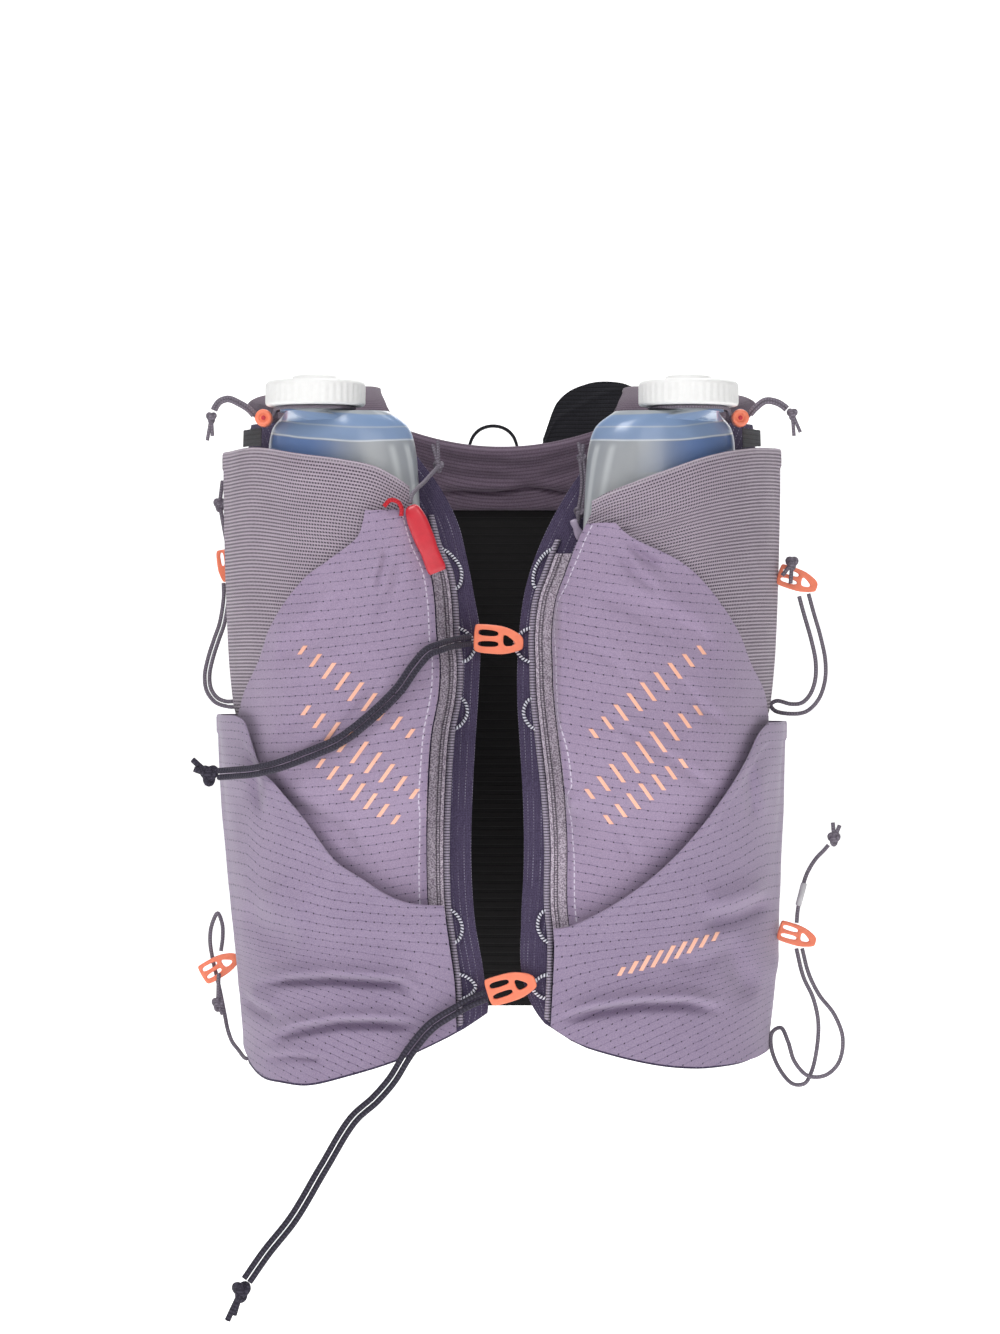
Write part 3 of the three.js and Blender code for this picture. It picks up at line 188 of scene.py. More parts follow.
def ripstop(name, base, dark, light, pitch, stitch_at=None, bar=False):
    """Woven cloth with thin darker lines across it, and small dark dots along each line."""
    look = Look(name, 0.72, Specular_IOR_Level=0.22, Sheen_Weight=0.25, Sheen_Roughness=0.5)
    across, down = look.places()
    wave = look.math("SINE", look.times(across, 0.55))
    place = look.plus(down, look.times(wave, 0.12))
    lines = look.line(place, pitch, 0.45)
    broken = look.ramp(look.noise(9.0, 2.0, look.vector(across, look.times(down, 0.3))), 0.3, 0.7)
    row = look.math("FLOOR", look.math("DIVIDE", look.plus(place, pitch / 2), pitch))
    shifted = look.plus(across, look.times(row, 2.1))
    dots = look.times(look.line(place, pitch, 0.62), look.line(shifted, 4.9, 0.62))
    dots = look.times(dots, look.ramp(look.noise(6.0, 1.0), 0.34, 0.44, 0.35, 1.0))
    ground = heather(look, base, dark, light)
    ground = look.mix(
        look.times(lines, look.plus(0.12, look.times(broken, 0.42))), ground, colour(104, 90, 120),
    )
    ground = look.mix(look.times(dots, 0.9), ground, colour(30, 22, 40))
    if stitch_at is not None:
        seam = look.between(across, stitch_at - 0.35, stitch_at + 0.35, 0.15)
        seam = look.times(seam, look.line(down, 3.4, 2.2, 0.1))
        ground = look.mix(seam, ground, colour(206, 198, 214))
        # Painted shade: the cloth from the edge to the stitch line is darkened, as it lies in shade beside
        # the seam.
        edge_shade = look.between(across, -1.0, stitch_at - 1.4, 0.5)
        ground = look.mix(look.times(edge_shade, 0.25), ground, dark)
    look.paint(ground)
    weave = look.plus(look.line(across, 0.7, 0.3), look.line(down, 0.7, 0.3))
    look.bump(weave, 0.05, 0.5)
    if bar:
        edge, under = look.places("Edge")
        block = look.times(look.between(edge, 15.0, 17.6, 0.3), look.between(under, 1.5, 14.0, 0.3))
        stitches = look.line(look.plus(under, look.times(edge, 0.8)), 1.9, 0.9)
        look.paint(look.mix(look.times(block, stitches, 0.75), ground, colour(206, 196, 214)))
    look.bump(look.either(lines, dots), 0.12, 0.6)
    look.bump(look.noise(9.0, 3.0), 0.5, 0.35)
    return look.material


def ribbed_mesh(name, base, dark, light, pitch=1.9, holes=True):
    """Knitted mesh: rows of ribs with small dark holes between them, and plain ribs at the sewn side."""
    look = Look(name, 0.85, Specular_IOR_Level=0.22, Sheen_Weight=0.12, Sheen_Roughness=0.6)
    across, down = look.places()
    edge, under = look.places("Edge")
    rows = look.line(down, pitch, pitch * 0.34)
    row = look.math("FLOOR", look.math("DIVIDE", look.plus(down, pitch / 2), pitch))
    shifted = look.plus(across, look.times(row, 0.85))
    pits = look.times(look.line(down, pitch, pitch * 0.42), look.line(shifted, 1.7, 0.85))
    open_part = look.ramp(edge, 11.0, 14.0)
    ground = heather(look, base, dark, light, 0.4)
    ground = look.mix(look.times(rows, 0.38), ground, dark)
    if holes:
        ground = look.mix(look.times(pits, open_part, 0.85), ground, colour(46, 36, 50))
    else:
        ground = look.mix(look.times(pits, 0.3), ground, dark)
    hem = look.between(under, 0.4, 2.2, 0.3)
    ground = look.mix(look.times(hem, 0.3), ground, light)
    block = look.times(look.between(edge, 14.5, 21.5), look.between(under, 3.0, 28.0))
    zigzag = look.line(look.plus(edge, look.times(look.math("PINGPONG", under, 2.0), 1.7)), 3.5, 1.1)
    if holes:
        ground = look.mix(look.times(block, zigzag, 0.95), ground, colour(58, 46, 62))
    look.paint(ground)
    look.bump(look.math("SUBTRACT", 1.0, rows), 0.35, 0.8)
    if holes:
        look.bump(look.math("SUBTRACT", 1.0, look.times(pits, open_part)), 0.4, 0.8)
    look.bump(look.noise(12.0, 3.0), 0.5, 0.3)
    return look.material


def knit(name, base, dark, light, dotted=True):
    """A fine dark knit with pale dotted lines along it."""
    look = Look(name, 0.9, Specular_IOR_Level=0.22, Sheen_Weight=0.12, Sheen_Roughness=0.5)
    across, down = look.places()
    stitches = look.times(look.line(across, 1.1, 0.55), look.line(down, 0.9, 0.5))
    ground = heather(look, base, dark, light, 0.6)
    ground = look.mix(look.times(stitches, 0.28), ground, light)
    if dotted:
        dots = look.times(look.line(across, 4.6, 0.4), look.line(down, 1.6, 0.7))
        patchy = look.ramp(look.noise(14.0, 2.0), 0.35, 0.65)
        ground = look.mix(look.times(dots, patchy, 0.5), ground, colour(188, 184, 206))
    look.paint(ground)
    look.bump(stitches, 0.18, 0.7)
    look.bump(look.noise(10.0, 3.0), 0.4, 0.3)
    return look.material


def ladder(name):
    """Ribbed edge webbing: raised pale ribs across it, dark between them."""
    look = Look(name, 0.8, Sheen_Weight=0.2)
    across, down = look.places()
    ribs = look.line(down, 1.55, 0.85, 0.25)
    ground = look.mix(ribs, colour(62, 53, 72), colour(174, 164, 182))
    ground = look.mix(look.times(look.noise(0.5, 1.0), 0.3), ground, colour(120, 108, 128))
    look.paint(ground)
    look.bump(ribs, 0.5, 0.9)
    return look.material


def zip_tape(name):
    """Speckled tape with the two dark rows of a zip coil nearer to the webbing."""
    look = Look(name, 0.8, Sheen_Weight=0.2)
    across, down = look.places()
    speck = look.noise(0.75, 1.0)
    ground = look.mix(look.ramp(speck, 0.38, 0.62), colour(136, 122, 138), colour(204, 192, 206))
    coil = look.either(look.between(across, 1.7, 2.3, 0.15), look.between(across, 3.3, 3.9, 0.15))
    teeth = look.times(look.between(across, 1.5, 4.1, 0.2), look.line(down, 1.3, 0.5))
    ground = look.mix(look.times(coil, 0.75), ground, colour(44, 36, 48))
    ground = look.mix(look.times(teeth, 0.5), ground, colour(52, 44, 56))
    look.paint(ground)
    look.bump(look.either(look.times(coil, -1.0), teeth), 0.3, 0.7)
    look.bump(speck, 0.15, 0.6)
    return look.material


def cord_look(name, base, fleck, share=0.3, pitch=1.5, roughness=0.75):
    """A braided cord: slanted plaits round it, with flecks of another tone."""
    look = Look(name, roughness, Specular_IOR_Level=0.22, Sheen_Weight=0.06)
    along, around = look.places()
    left = look.line(look.plus(along, look.times(around, 2 * pitch)), pitch, pitch * 0.35)
    right = look.line(look.math("SUBTRACT", along, look.times(around, 2 * pitch)), pitch, pitch * 0.35)
    plaits = look.either(left, right)
    ground = look.mix(look.times(plaits, share), base, fleck)
    ground = look.mix(look.times(look.ramp(look.noise(0.9, 1.0), 0.55, 0.7), share), ground, fleck)
    look.paint(ground)
    look.bump(look.math("SUBTRACT", 1.0, plaits), 0.22, 0.8)
    return look.material


def dashed_cord(name):
    look = Look(name, 0.7)
    along, around = look.places()
    turned = look.plus(along, look.times(around, 1.7))
    dashes = look.line(turned, 1.7, 0.8, 0.15)
    look.paint(look.mix(dashes, colour(46, 40, 66), colour(226, 226, 236)))
    look.bump(dashes, 0.2, 0.7)
    return look.material


def plastic(name, base, dark, roughness=0.38, coat=0.15):
    look = Look(name, roughness, Coat_Weight=coat, Coat_Roughness=0.25)
    grain = look.noise(3.0, 3.0)
    look.paint(look.mix(look.ramp(grain, 0.3, 0.8, 0.0, 0.3), base, dark))
    look.bump(look.noise(0.8, 2.0), 0.04, 0.5)
    return look.material


def film_look(name):
    """A translucent soft flask: blue bands round its shoulder, clear grey below, with a painted highlight
    line across the bands and painted highlight streaks lower down.
    """
    look = Look(name, 0.28, Transmission_Weight=0.35, IOR=1.3, Coat_Weight=0.35, Coat_Roughness=0.12)
    around, down = look.places()
    bend = look.noise(30.0, 1.0)
    tilt = look.times(look.math("SUBTRACT", around, 141.0), 0.075)
    place = look.plus(look.plus(down, tilt), look.times(bend, 2.0))
    ground = colour(170, 175, 183)
    cloudy = look.ramp(look.noise(22.0, 2.0, look.vector(around, look.times(down, 0.25))), 0.35, 0.7)
    ground = look.mix(cloudy, ground, colour(192, 195, 198))
    outer_half = look.ramp(around, 122, 150)
    bands = (
        (-4.0, 2.0, (196, 204, 212), 0.6, 1.0),
        (2.0, 9.0, (142, 174, 218), 0.85, 1.0),
        (9.0, 9.8, (196, 210, 230), 0.8, 1.0),
        (9.8, 16.4, (150, 176, 214), 0.9, 1.0),
        # This thin pale band is a painted highlight line, not part of the flask's print.
        (16.4, 17.2, (232, 238, 246), 0.9, 1.0),
        (17.4, 34.0, (92, 134, 202), 0.75, outer_half),
    )
    for low, high, tone, share, where in bands:
        ground = look.mix(
            look.times(look.between(place, low, high, 0.4), share, where), ground, colour(*tone),
        )
    # Pale slanted streaks below the bands are painted highlights on the film's creases.
    slanted = look.plus(around, look.times(place, 0.14))
    painted_highlight_streaks = look.either(look.between(slanted, 104, 108, 1.2), look.between(slanted, 114, 117, 1.5))
    ground = look.mix(look.times(painted_highlight_streaks, look.ramp(place, 17.5, 22.0), 0.6), ground, colour(232, 236, 238))
    look.paint(ground)
    look.bump(look.noise(16.0, 2.0), 1.2, 0.4)
    return look.material


NAVY = knit("navy knit", colour(62, 52, 78), colour(38, 31, 54), colour(108, 98, 128))
CHEST = ripstop(
    "chest ripstop", colour(160, 142, 169), colour(127, 110, 139), colour(184, 168, 193), 4.9, 4.2,
)
LOWER = ripstop(
    "pocket stretch", colour(150, 134, 160), colour(118, 103, 133), colour(174, 159, 184), 4.5, bar=True,
)
MESH = ribbed_mesh("pocket mesh", colour(182, 168, 182), colour(128, 114, 130), colour(206, 194, 206))
STRAP_MESH = ribbed_mesh(
    "strap mesh", colour(112, 98, 112), colour(76, 64, 76), colour(138, 124, 138), 2.0, False,
)
COLLAR = ribbed_mesh(
    "collar mesh", colour(122, 104, 122), colour(78, 64, 78), colour(154, 136, 154), 2.3, False,
)
# Near-black lining: a dark ribbed lining whose colour is pushed near black as painted shade for the hollow
# inside of the vest.
SHADED_LINING = ribbed_mesh("lining mesh with painted shade", colour(21, 19, 20), colour(11, 10, 11), colour(32, 29, 31), 5.2, False)
DARK = ribbed_mesh(
    "dark stretch mesh", colour(38, 38, 44), colour(20, 20, 24), colour(60, 60, 68), 2.4, False,
)
PIPING = ladder("edge webbing")
ZIP = zip_tape("zip tape")
LOOP = dashed_cord("daisy loop cord")
SLATE = cord_look("slate cord", colour(70, 66, 80), colour(30, 27, 38), 0.6, 2.0)
GREY = cord_look("grey cord", colour(134, 126, 138), colour(78, 72, 82), 0.5, 1.5)
CORAL = plastic("coral plastic", colour(250, 136, 102), colour(226, 108, 78))
RED = plastic("red plastic", colour(202, 44, 58), colour(170, 30, 44), 0.34)
RED_CORD = cord_look("red cord", colour(204, 44, 56), colour(140, 24, 34), 0.4, 1.5)
WHITE = plastic("white plastic", colour(240, 240, 239), colour(228, 228, 226), 0.45, 0.05)
SLEEVE = plastic("grey sleeve", colour(188, 186, 190), colour(160, 158, 162))
PALE = plastic("lilac slider", colour(168, 154, 178), colour(140, 126, 150))
PRINT = plastic("coral print", colour(250, 190, 165), colour(240, 168, 140), 0.5, 0.0)
FILM = film_look("flask film")


# The part's form: tables of shares

HALF_WIDTH, FRONT_HEIGHT, BACK_HEIGHT = 150, 383, 352
FRONT_DEPTH, BACK_DEPTH = 103, 92
SIDE_LAYERS = 11
BODY_HALF = HALF_WIDTH - SIDE_LAYERS
ROUNDNESS = 2.6
SHOULDER_DROP, SHOULDER_FLARE = 9, 0.06
BASE_WALL, STRAP_WALL, BACK_WALL, MESH_WALL, PANEL_WALL = 3, 5, 4, 1.2, 1.2
LAYER_GAP, SEAM = 1.2, 0.4
PIPING_WIDTH, PIPING_WALL, ZIP_WIDTH, ZIP_WALL = 3.2, 2.4, 8.5, 1.8
POCKET_TUCK, MOUTH_GAPE = 14, 5
NECK_DROP, COLLAR_WALL, COLLAR_INSIDE, YOKE_DROP = 29, 8, 3, 64
POCKET_TOP, POCKET_BULGE = 76, 14
FLAP_FOOT, FLAP_INNER, FLAP_OUTER, FLAP_WALL = -74.0, 24.0, 84.0, 2.0
FLAP_LOWEST_TOP, FLAP_TOP_Z = -29.0, 11.0
HANG_LOOP_DEEP, HANG_LOOP_WALL, HANG_LOOP_FOOT = 7, 1.6, 8


def rows(names, *values):
    """A table with named columns."""
    columns = names.split()
    return {name: np.array([row[k] for row in values], float) for k, name in enumerate(columns)}


PROFILE = rows(
    "along out down",
    (-1, -0.883, 1), (-0.784, -0.971, 0.757), (-0.6, -1, 0.551), (-0.485, -0.971, 0.42),
    (-0.357, -0.893, 0.279), (-0.244, -0.757, 0.157), (-0.153, -0.58, 0.065), (-0.09, -0.37, 0.023),
    (0, 0, 0), (0.098, 0.413, 0.026), (0.175, 0.674, 0.08), (0.271, 0.87, 0.176), (0.393, 0.978, 0.3125),
    (0.531, 1, 0.469), (0.694, 0.957, 0.653), (0.845, 0.913, 0.824), (1, 0.913, 1),
)
INNER_EDGE = rows(
    "down left right",
    (0.045, 0.4, 0.42), (0.1, 0.316, 0.336), (0.15, 0.224, 0.248), (0.2, 0.16, 0.175), (0.25, 0.127, 0.119),
    (0.3, 0.102, 0.081), (0.36, 0.078, 0.061), (0.44, 0.084, 0.054), (0.52, 0.097, 0.065),
    (0.6, 0.107, 0.076), (0.68, 0.11, 0.078), (0.76, 0.097, 0.069), (0.84, 0.064, 0.073), (0.9, 0.06, 0.141),
    (0.95, 0.2, 0.29),
)
BINDING = rows(
    "down left right",
    (0.19, 0.245, 0.235), (0.233, 0.215, 0.182), (0.27, 0.175, 0.146), (0.31, 0.158, 0.11),
    (0.36, 0.15, 0.095), (0.4, 0.138, 0.097), (0.445, 0.143, 0.101), (0.5, 0.168, 0.116),
    (0.577, 0.181, 0.138), (0.65, 0.186, 0.15), (0.735, 0.182, 0.15), (0.79, 0.165, 0.162),
    (0.85, 0.145, 0.158), (0.91, 0.139, 0.15),
)
HEM = rows(
    "out left right",
    (0.05, 0.89, 0.87), (0.14, 0.914, 0.902), (0.25, 0.937, 0.932), (0.385, 0.961, 0.951),
    (0.56, 0.984, 0.968), (0.7, 0.999, 0.975), (0.8, 0.998, 0.975), (0.88, 0.993, 0.973),
    (0.94, 0.968, 0.967), (1, 0.91, 0.945),
)
MESH_TOP = rows(
    "out left right",
    (0.31, 0.159, 0.176), (0.375, 0.141, 0.162), (0.453, 0.1254, 0.15), (0.567, 0.1157, 0.133),
    (0.731, 0.106, 0.11), (0.892, 0.0935, 0.095), (1, 0.094, 0.089),
)
MESH_BOTTOM = rows(
    "out left right", (0.2, 0.62, 0.62), (0.86, 0.61, 0.61), (0.95, 0.5, 0.5), (1, 0.445, 0.45),
)
CHEST_TOP = rows("out left right", (0.2, 0.187, 0.212), (0.353, 0.1865, 0.205), (0.483, 0.188, 0.209))
CHEST_EDGE = rows(
    "down left right",
    (0.186, 0.483, 0.372), (0.205, 0.492, 0.4), (0.227, 0.515, 0.465), (0.2546, 0.606, 0.613),
    (0.279, 0.692, 0.695), (0.318, 0.777, 0.78), (0.36, 0.838, 0.85), (0.398, 0.872, 0.89),
    (0.438, 0.925, 0.945), (0.475, 0.955, 0.965),
)
MOUTH = rows(
    "out left right",
    (0.16, 0.737, 0.77), (0.24, 0.7365, 0.766), (0.33, 0.733, 0.75), (0.414, 0.72, 0.731),
    (0.492, 0.7, 0.71), (0.596, 0.672, 0.675), (0.699, 0.617, 0.631), (0.8, 0.57, 0.578),
    (0.87, 0.536, 0.535), (0.917, 0.485, 0.5), (0.96, 0.473, 0.483),
)
WRAP = rows(
    "down out",
    (0.045, 0.86), (0.08, 0.92), (0.12, 0.97), (0.17, 0.99), (0.3, 1.01), (0.8, 1.01), (0.92, 0.99),
)
SWELL = rows(
    "down left right",
    (0.45, 0, 0), (0.55, 0.012, 0.012), (0.74, 0.02, 0.045), (0.84, 0.01, 0.05), (0.94, 0, 0.036),
)
FLASK = rows(
    "at wide deep",
    (0, 0.82, 0.14), (0.05, 0.94, 0.5), (0.14, 1, 0.86), (0.32, 1, 1), (0.8, 0.99, 1), (0.9, 0.97, 0.96),
    (0.96, 0.89, 0.9), (1, 0.68, 0.82),
)
STRAP = rows(
    "at inner outer",
    (0, 0.415, 0.895), (0.25, 0.425, 0.9), (0.5, 0.425, 0.9), (0.75, 0.4, 0.88), (1, 0.38, 0.82),
)
BACK_EDGE = rows("down out", (0.18, 0.74), (0.3, 0.7), (0.42, 0.75), (0.55, 0.85), (0.85, 0.87), (1, 0.78))
FLAP_TOP = rows("out rise", (0, 0.18), (0.14, 0.72), (0.42, 0.98), (0.74, 1), (1, 0.84))
LOOP_REACH, LOOP_RADIUS = 5, 0.95
LOOPS = ((0.267, 0.06, 0.9), (0.374, 0.05, 1.5), (0.47, 0.045, 0.9), (0.768, 0.048, 0.9), (0.853, 0.036, 1.5))


def mix(a, b, share):
    return a + (b - a) * share


def ease(value):
    share = np.clip(value, 0, 1)
    return share * share * (3 - 2 * share)


def through(table, key, column, at):
    """A smooth curve through the rows of a table."""
    xs, ys = table[key], table[column]
    last = len(xs) - 1
    at = np.clip(np.asarray(at, float), xs[0], xs[-1])
    before, after = np.maximum(np.arange(last + 1) - 1, 0), np.minimum(np.arange(last + 1) + 1, last)
    slope = (ys[after] - ys[before]) / (xs[after] - xs[before])
    i = np.clip(np.searchsorted(xs, at, side="right") - 1, 0, last - 1)
    width = xs[i + 1] - xs[i]
    s = (at - xs[i]) / width
    return (
        (2 * s**3 - 3 * s**2 + 1) * ys[i] + (s**3 - 2 * s**2 + s) * width * slope[i]
        + (3 * s**2 - 2 * s**3) * ys[i + 1] + (s**3 - s**2) * width * slope[i + 1]
    )


def solve(rising, target, low, high):
    """The values between low and high where a rising function reaches the targets."""
    target = np.asarray(target, float)
    low, high = np.full(target.shape, float(low)), np.full(target.shape, float(high))
    for _ in range(22):
        middle = (low + high) / 2
        short = rising(middle) < target
        low, high = np.where(short, middle, low), np.where(short, high, middle)
    return (low + high) / 2


def section(angle, depth):
    sine, cosine = np.sin(angle), np.cos(angle)
    power = 2 / ROUNDNESS
    x = BODY_HALF * np.sign(sine) * np.abs(sine) ** power
    return x, depth * np.sign(cosine) * np.abs(cosine) ** power


GIRTH_STEPS = 360
girth_angles = np.linspace(0, math.pi, GIRTH_STEPS + 1)
girth_x, girth_y = section(girth_angles, FRONT_DEPTH)
girth = np.concatenate([[0], np.cumsum(np.hypot(np.diff(girth_x), np.diff(girth_y)))])


def angle_at(across):
    return np.interp(np.abs(across) * girth[GIRTH_STEPS // 2], girth, girth_angles)


def body(along, across):
    along, across = np.broadcast_arrays(np.asarray(along, float), np.asarray(across, float))
    depth = np.where(along > 0, BACK_DEPTH, FRONT_DEPTH) * through(PROFILE, "along", "out", along)
    height = np.where(along > 0, BACK_HEIGHT, FRONT_HEIGHT)
    x, y = section(angle_at(across), depth)
    level = height * through(PROFILE, "along", "down", along)
    at_shoulder = 1 - ease(level / (2 * SHOULDER_DROP))
    drop = SHOULDER_DROP * at_shoulder * np.minimum(1, np.abs(x) / BODY_HALF) ** 2
    return np.stack([np.sign(across) * x * (1 + SHOULDER_FLARE * at_shoulder), y, -level - drop], -1)


def raised(along, across, height):
    step = 0.002
    down = body(along + step, across) - body(along - step, across)
    over = body(along, across + step) - body(along, across - step)
    normal = np.cross(down, over)
    normal /= np.linalg.norm(normal, axis=-1, keepdims=True)
    return body(along, across) - normal * np.asarray(height)[..., None]


level_steps = np.linspace(0.02, 1, 1500)
level_front = through(PROFILE, "along", "down", -level_steps)
level_back = through(PROFILE, "along", "down", level_steps)


def along_front(z):
    return -np.interp(-np.asarray(z) / FRONT_HEIGHT, level_front, level_steps)


def along_back(z):
    return np.interp(-np.asarray(z) / BACK_HEIGHT, level_back, level_steps)


def front(z, across, height):
    """A point on a front layer, raised level with the ground from the body form."""
    z, across, height = np.broadcast_arrays(
        np.asarray(z, float), np.asarray(across, float), np.asarray(height, float),
    )
    depth = FRONT_DEPTH * through(PROFILE, "along", "out", along_front(z))
    step = 0.004
    low_x, low_y = section(angle_at(np.maximum(0, across - step)), depth)
    high_x, high_y = section(angle_at(across + step), depth)
    here_x, here_y = section(angle_at(np.maximum(0, across)), depth)
    turn = mix(0.2, 1, ease((across - 0.84) / 0.16))
    sideways, forward = (high_y - low_y) * turn, low_x - high_x
    length = np.hypot(sideways, forward)
    x = here_x + height * sideways / length
    return np.stack([np.where(across < 0, -x, x), here_y + height * forward / length, z], -1)


# Soft flasks

FLASK_HALF_WIDE, FLASK_HALF_DEEP, FLASK_BEND = 44, 18, 9
FLASK_CENTRE, FLASK_YAW, FLASK_TILT, FLASK_SPLAY, SPLAY_LEVEL = 90, 22, 8, 2.5, 30
FLASK_BOTTOM, FLASK_TOP, FLASK_MARGIN, FLASK_FILM = 215, 17.5, 2.2, 1.2
NECK_RADIUS, NECK_HEIGHT, NECK_GAP, NECK_OFFSET = 19, 12, 3, 10
CAP_RADIUS, CAP_HEIGHT, VALVE_HEIGHT = 27, 13.5, 3
flask_length = FLASK_BOTTOM - FLASK_TOP
yaw, lean = math.radians(FLASK_YAW), math.tan(math.radians(FLASK_TILT))


def flask_x(z):
    return FLASK_CENTRE + math.tan(math.radians(FLASK_SPLAY)) * (z + SPLAY_LEVEL)


def flask_section(z):
    at = np.clip((z + FLASK_BOTTOM) / flask_length, 0, 1)
    return FLASK_HALF_WIDE * through(
        FLASK, "at", "wide", at,
    ), FLASK_HALF_DEEP * through(FLASK, "at", "deep", at)


def bend_at(u):
    return FLASK_BEND * (u / FLASK_HALF_WIDE) ** 2


turns, levels = np.meshgrid(
    np.radians(np.arange(0, 360, 15)), np.arange(-FLASK_BOTTOM, -FLASK_TOP, flask_length / 12),
)
wide, deep = flask_section(levels)
u = wide * np.cos(turns)
w = deep * np.sin(turns) + bend_at(u)
rest_x = flask_x(levels) + u * math.cos(yaw) - w * math.sin(yaw)
rest_y = u * math.sin(yaw) + w * math.cos(yaw) + lean * (levels + FLASK_BOTTOM)
rest_across = solve(lambda s: front(levels, s, BASE_WALL + LAYER_GAP)[..., 0], rest_x, 0, 1)
flask_depth = (front(levels, rest_across, BASE_WALL + LAYER_GAP)[..., 1] - rest_y).min()


def flask_y(z):
    return flask_depth + lean * (z + FLASK_BOTTOM)


def inside_flask(points, margin):
    z = points[..., 2]
    wide, deep = flask_section(z)
    dx, dy = points[..., 0] - flask_x(z), points[..., 1] - flask_y(z)
    u = dx * math.cos(yaw) + dy * math.sin(yaw)
    w = -dx * math.sin(yaw) + dy * math.cos(yaw) - bend_at(u)
    return (z >= -FLASK_BOTTOM - margin) & ((u / (wide + margin)) ** 2 + (w / (deep + margin)) ** 2 < 1)


# Heights of the cloth layers, on one grid

GRID_ROWS, GRID_COLUMNS, GRID_END = 50, 44, 1.06
grid_z, grid_across = np.meshgrid(
    np.linspace(-0.05 * FRONT_HEIGHT, -1.03 * FRONT_HEIGHT, GRID_ROWS),
    np.linspace(0, GRID_END, GRID_COLUMNS),
    indexing="ij",
)


def cubic_weights(t):
    return (
        (-t + 2 * t**2 - t**3) / 2, (2 - 5 * t**2 + 3 * t**3) / 2, (t + 4 * t**2 - 3 * t**3) / 2,
        (t**3 - t**2) / 2,
    )


def sample(layer, z, across):
    """The height of a layer between the points of the grid."""
    z, across = np.broadcast_arrays(np.asarray(z, float), np.asarray(across, float))
    j = np.clip((z - grid_z[0, 0]) / (grid_z[-1, 0] - grid_z[0, 0]) * (GRID_ROWS - 1), 0, GRID_ROWS - 1.001)
    i = np.clip(across / GRID_END * (GRID_COLUMNS - 1), 0, GRID_COLUMNS - 1.001)
    row, column = np.floor(j).astype(int), np.floor(i).astype(int)
    total = 0
    for dj, wj in zip((-1, 0, 1, 2), cubic_weights(j - row)):
        near = np.clip(row + dj, 0, GRID_ROWS - 1)
        for di, wi in zip((-1, 0, 1, 2), cubic_weights(i - column)):
            total = total + wj * wi * layer[near, np.clip(column + di, 0, GRID_COLUMNS - 1)]
    return total


def stretched(under, free):
    """Cloth pulled taut over what lies under it, and sewn down where it isn't free."""
    layer = [list(row) for row in under.tolist()]
    floor, loose = under.tolist(), free.tolist()
    for _ in range(160):
        for j in range(GRID_ROWS):
            row, above, below = layer[j], layer[max(0, j - 1)], layer[min(GRID_ROWS - 1, j + 1)]
            for i in range(1, GRID_COLUMNS - 1):
                if loose[j][i]:
                    row[i] = max(floor[j][i], (above[i] + below[i] + 2 * (row[i - 1] + row[i + 1])) / 6)
    return np.array(layer)


def widened(layer):
    padded = np.pad(layer, 1, mode="edge")
    shifts = [padded[j:j + GRID_ROWS, i:i + GRID_COLUMNS] for j in range(3) for i in range(3)]
    return np.max(shifts, 0)


def average(table, key, at):
    return (through(table, key, "left", at) + through(table, key, "right", at)) / 2


bare = np.zeros((GRID_ROWS, GRID_COLUMNS))
on_base = bare + BASE_WALL + SEAM
reach = np.zeros_like(bare)
for lift in range(1, 90):
    reach = np.where(inside_flask(front(grid_z, grid_across, lift), FLASK_MARGIN), lift, reach)
down = -grid_z / FRONT_HEIGHT
share = front(grid_z, grid_across, BASE_WALL)[..., 0] / HALF_WIDTH
binding = average(BINDING, "down", down)
past_zip = share > binding + (PIPING_WIDTH + ZIP_WIDTH) / HALF_WIDTH
unsewn = grid_across < 0.99
over_flask = widened(np.maximum(BASE_WALL + LAYER_GAP, reach))
mesh_layer = stretched(over_flask, past_zip & unsewn & (down < average(MESH_BOTTOM, "out", share)))
chest_layer = stretched(widened(mesh_layer) + MESH_WALL + LAYER_GAP, past_zip & unsewn)
mouth = average(MOUTH, "out", share)
tucked = ease((mouth + 2 * POCKET_TUCK / FRONT_HEIGHT - down) * FRONT_HEIGHT / POCKET_TUCK)
gape = MOUTH_GAPE * (1 - ease((down - mouth) / 0.11)) * (1 - ease((grid_across - 0.76) / 0.17))
puff = 6 * np.sin(math.pi * np.clip((down - mouth) / (1 - mouth), 0, 1))
puff = puff * np.sin(math.pi * np.clip(grid_across, 0, 1))
lower_floor = mix(BASE_WALL + LAYER_GAP, chest_layer + PANEL_WALL + LAYER_GAP, tucked)
lower_floor = lower_floor + np.where(unsewn, gape + puff, 0)
lower_layer = stretched(
    lower_floor,
    (share > binding + PIPING_WIDTH / HALF_WIDTH) & unsewn
    & (down < average(HEM, "out", share) - POCKET_TUCK / FRONT_HEIGHT),
)


# Making objects

def make(name, points, faces, look, slot=None, uv=None, edge=None, replaces=(), sharp=50):
    """A mesh object at the origin that rides on the vest, from points in millimetres."""
    mesh = bpy.data.meshes.new(name)
    mesh.from_pydata((np.asarray(points, float) * MM).tolist(), [], [tuple(face) for face in faces])
    mesh.validate()
    work = bmesh.new()
    work.from_mesh(mesh)
    bmesh.ops.recalc_face_normals(work, faces=work.faces)
    work.to_mesh(mesh)
    work.free()
    loops = np.empty(len(mesh.loops), int)
    mesh.loops.foreach_get("vertex_index", loops)
    for layer, values in (("UVMap", uv), ("Edge", edge)):
        if values is not None:
            made = mesh.uv_layers.new(name=layer)
            made.data.foreach_set("uv", np.asarray(values, float)[loops].astype(np.float32).ravel())
    mesh.shade_smooth()
    mesh.set_sharp_from_angle(angle=math.radians(sharp))
    mesh.materials.append(look)
    thing = bpy.data.objects.new(name, mesh)
    bpy.context.scene.collection.objects.link(thing)
    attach(thing, "root")
    if replaces:
        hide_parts(*replaces)
    return thing


BOX_FACES = [(0, 1, 3, 2), (4, 6, 7, 5), (0, 4, 5, 1), (2, 3, 7, 6), (0, 2, 6, 4), (1, 5, 7, 3)]


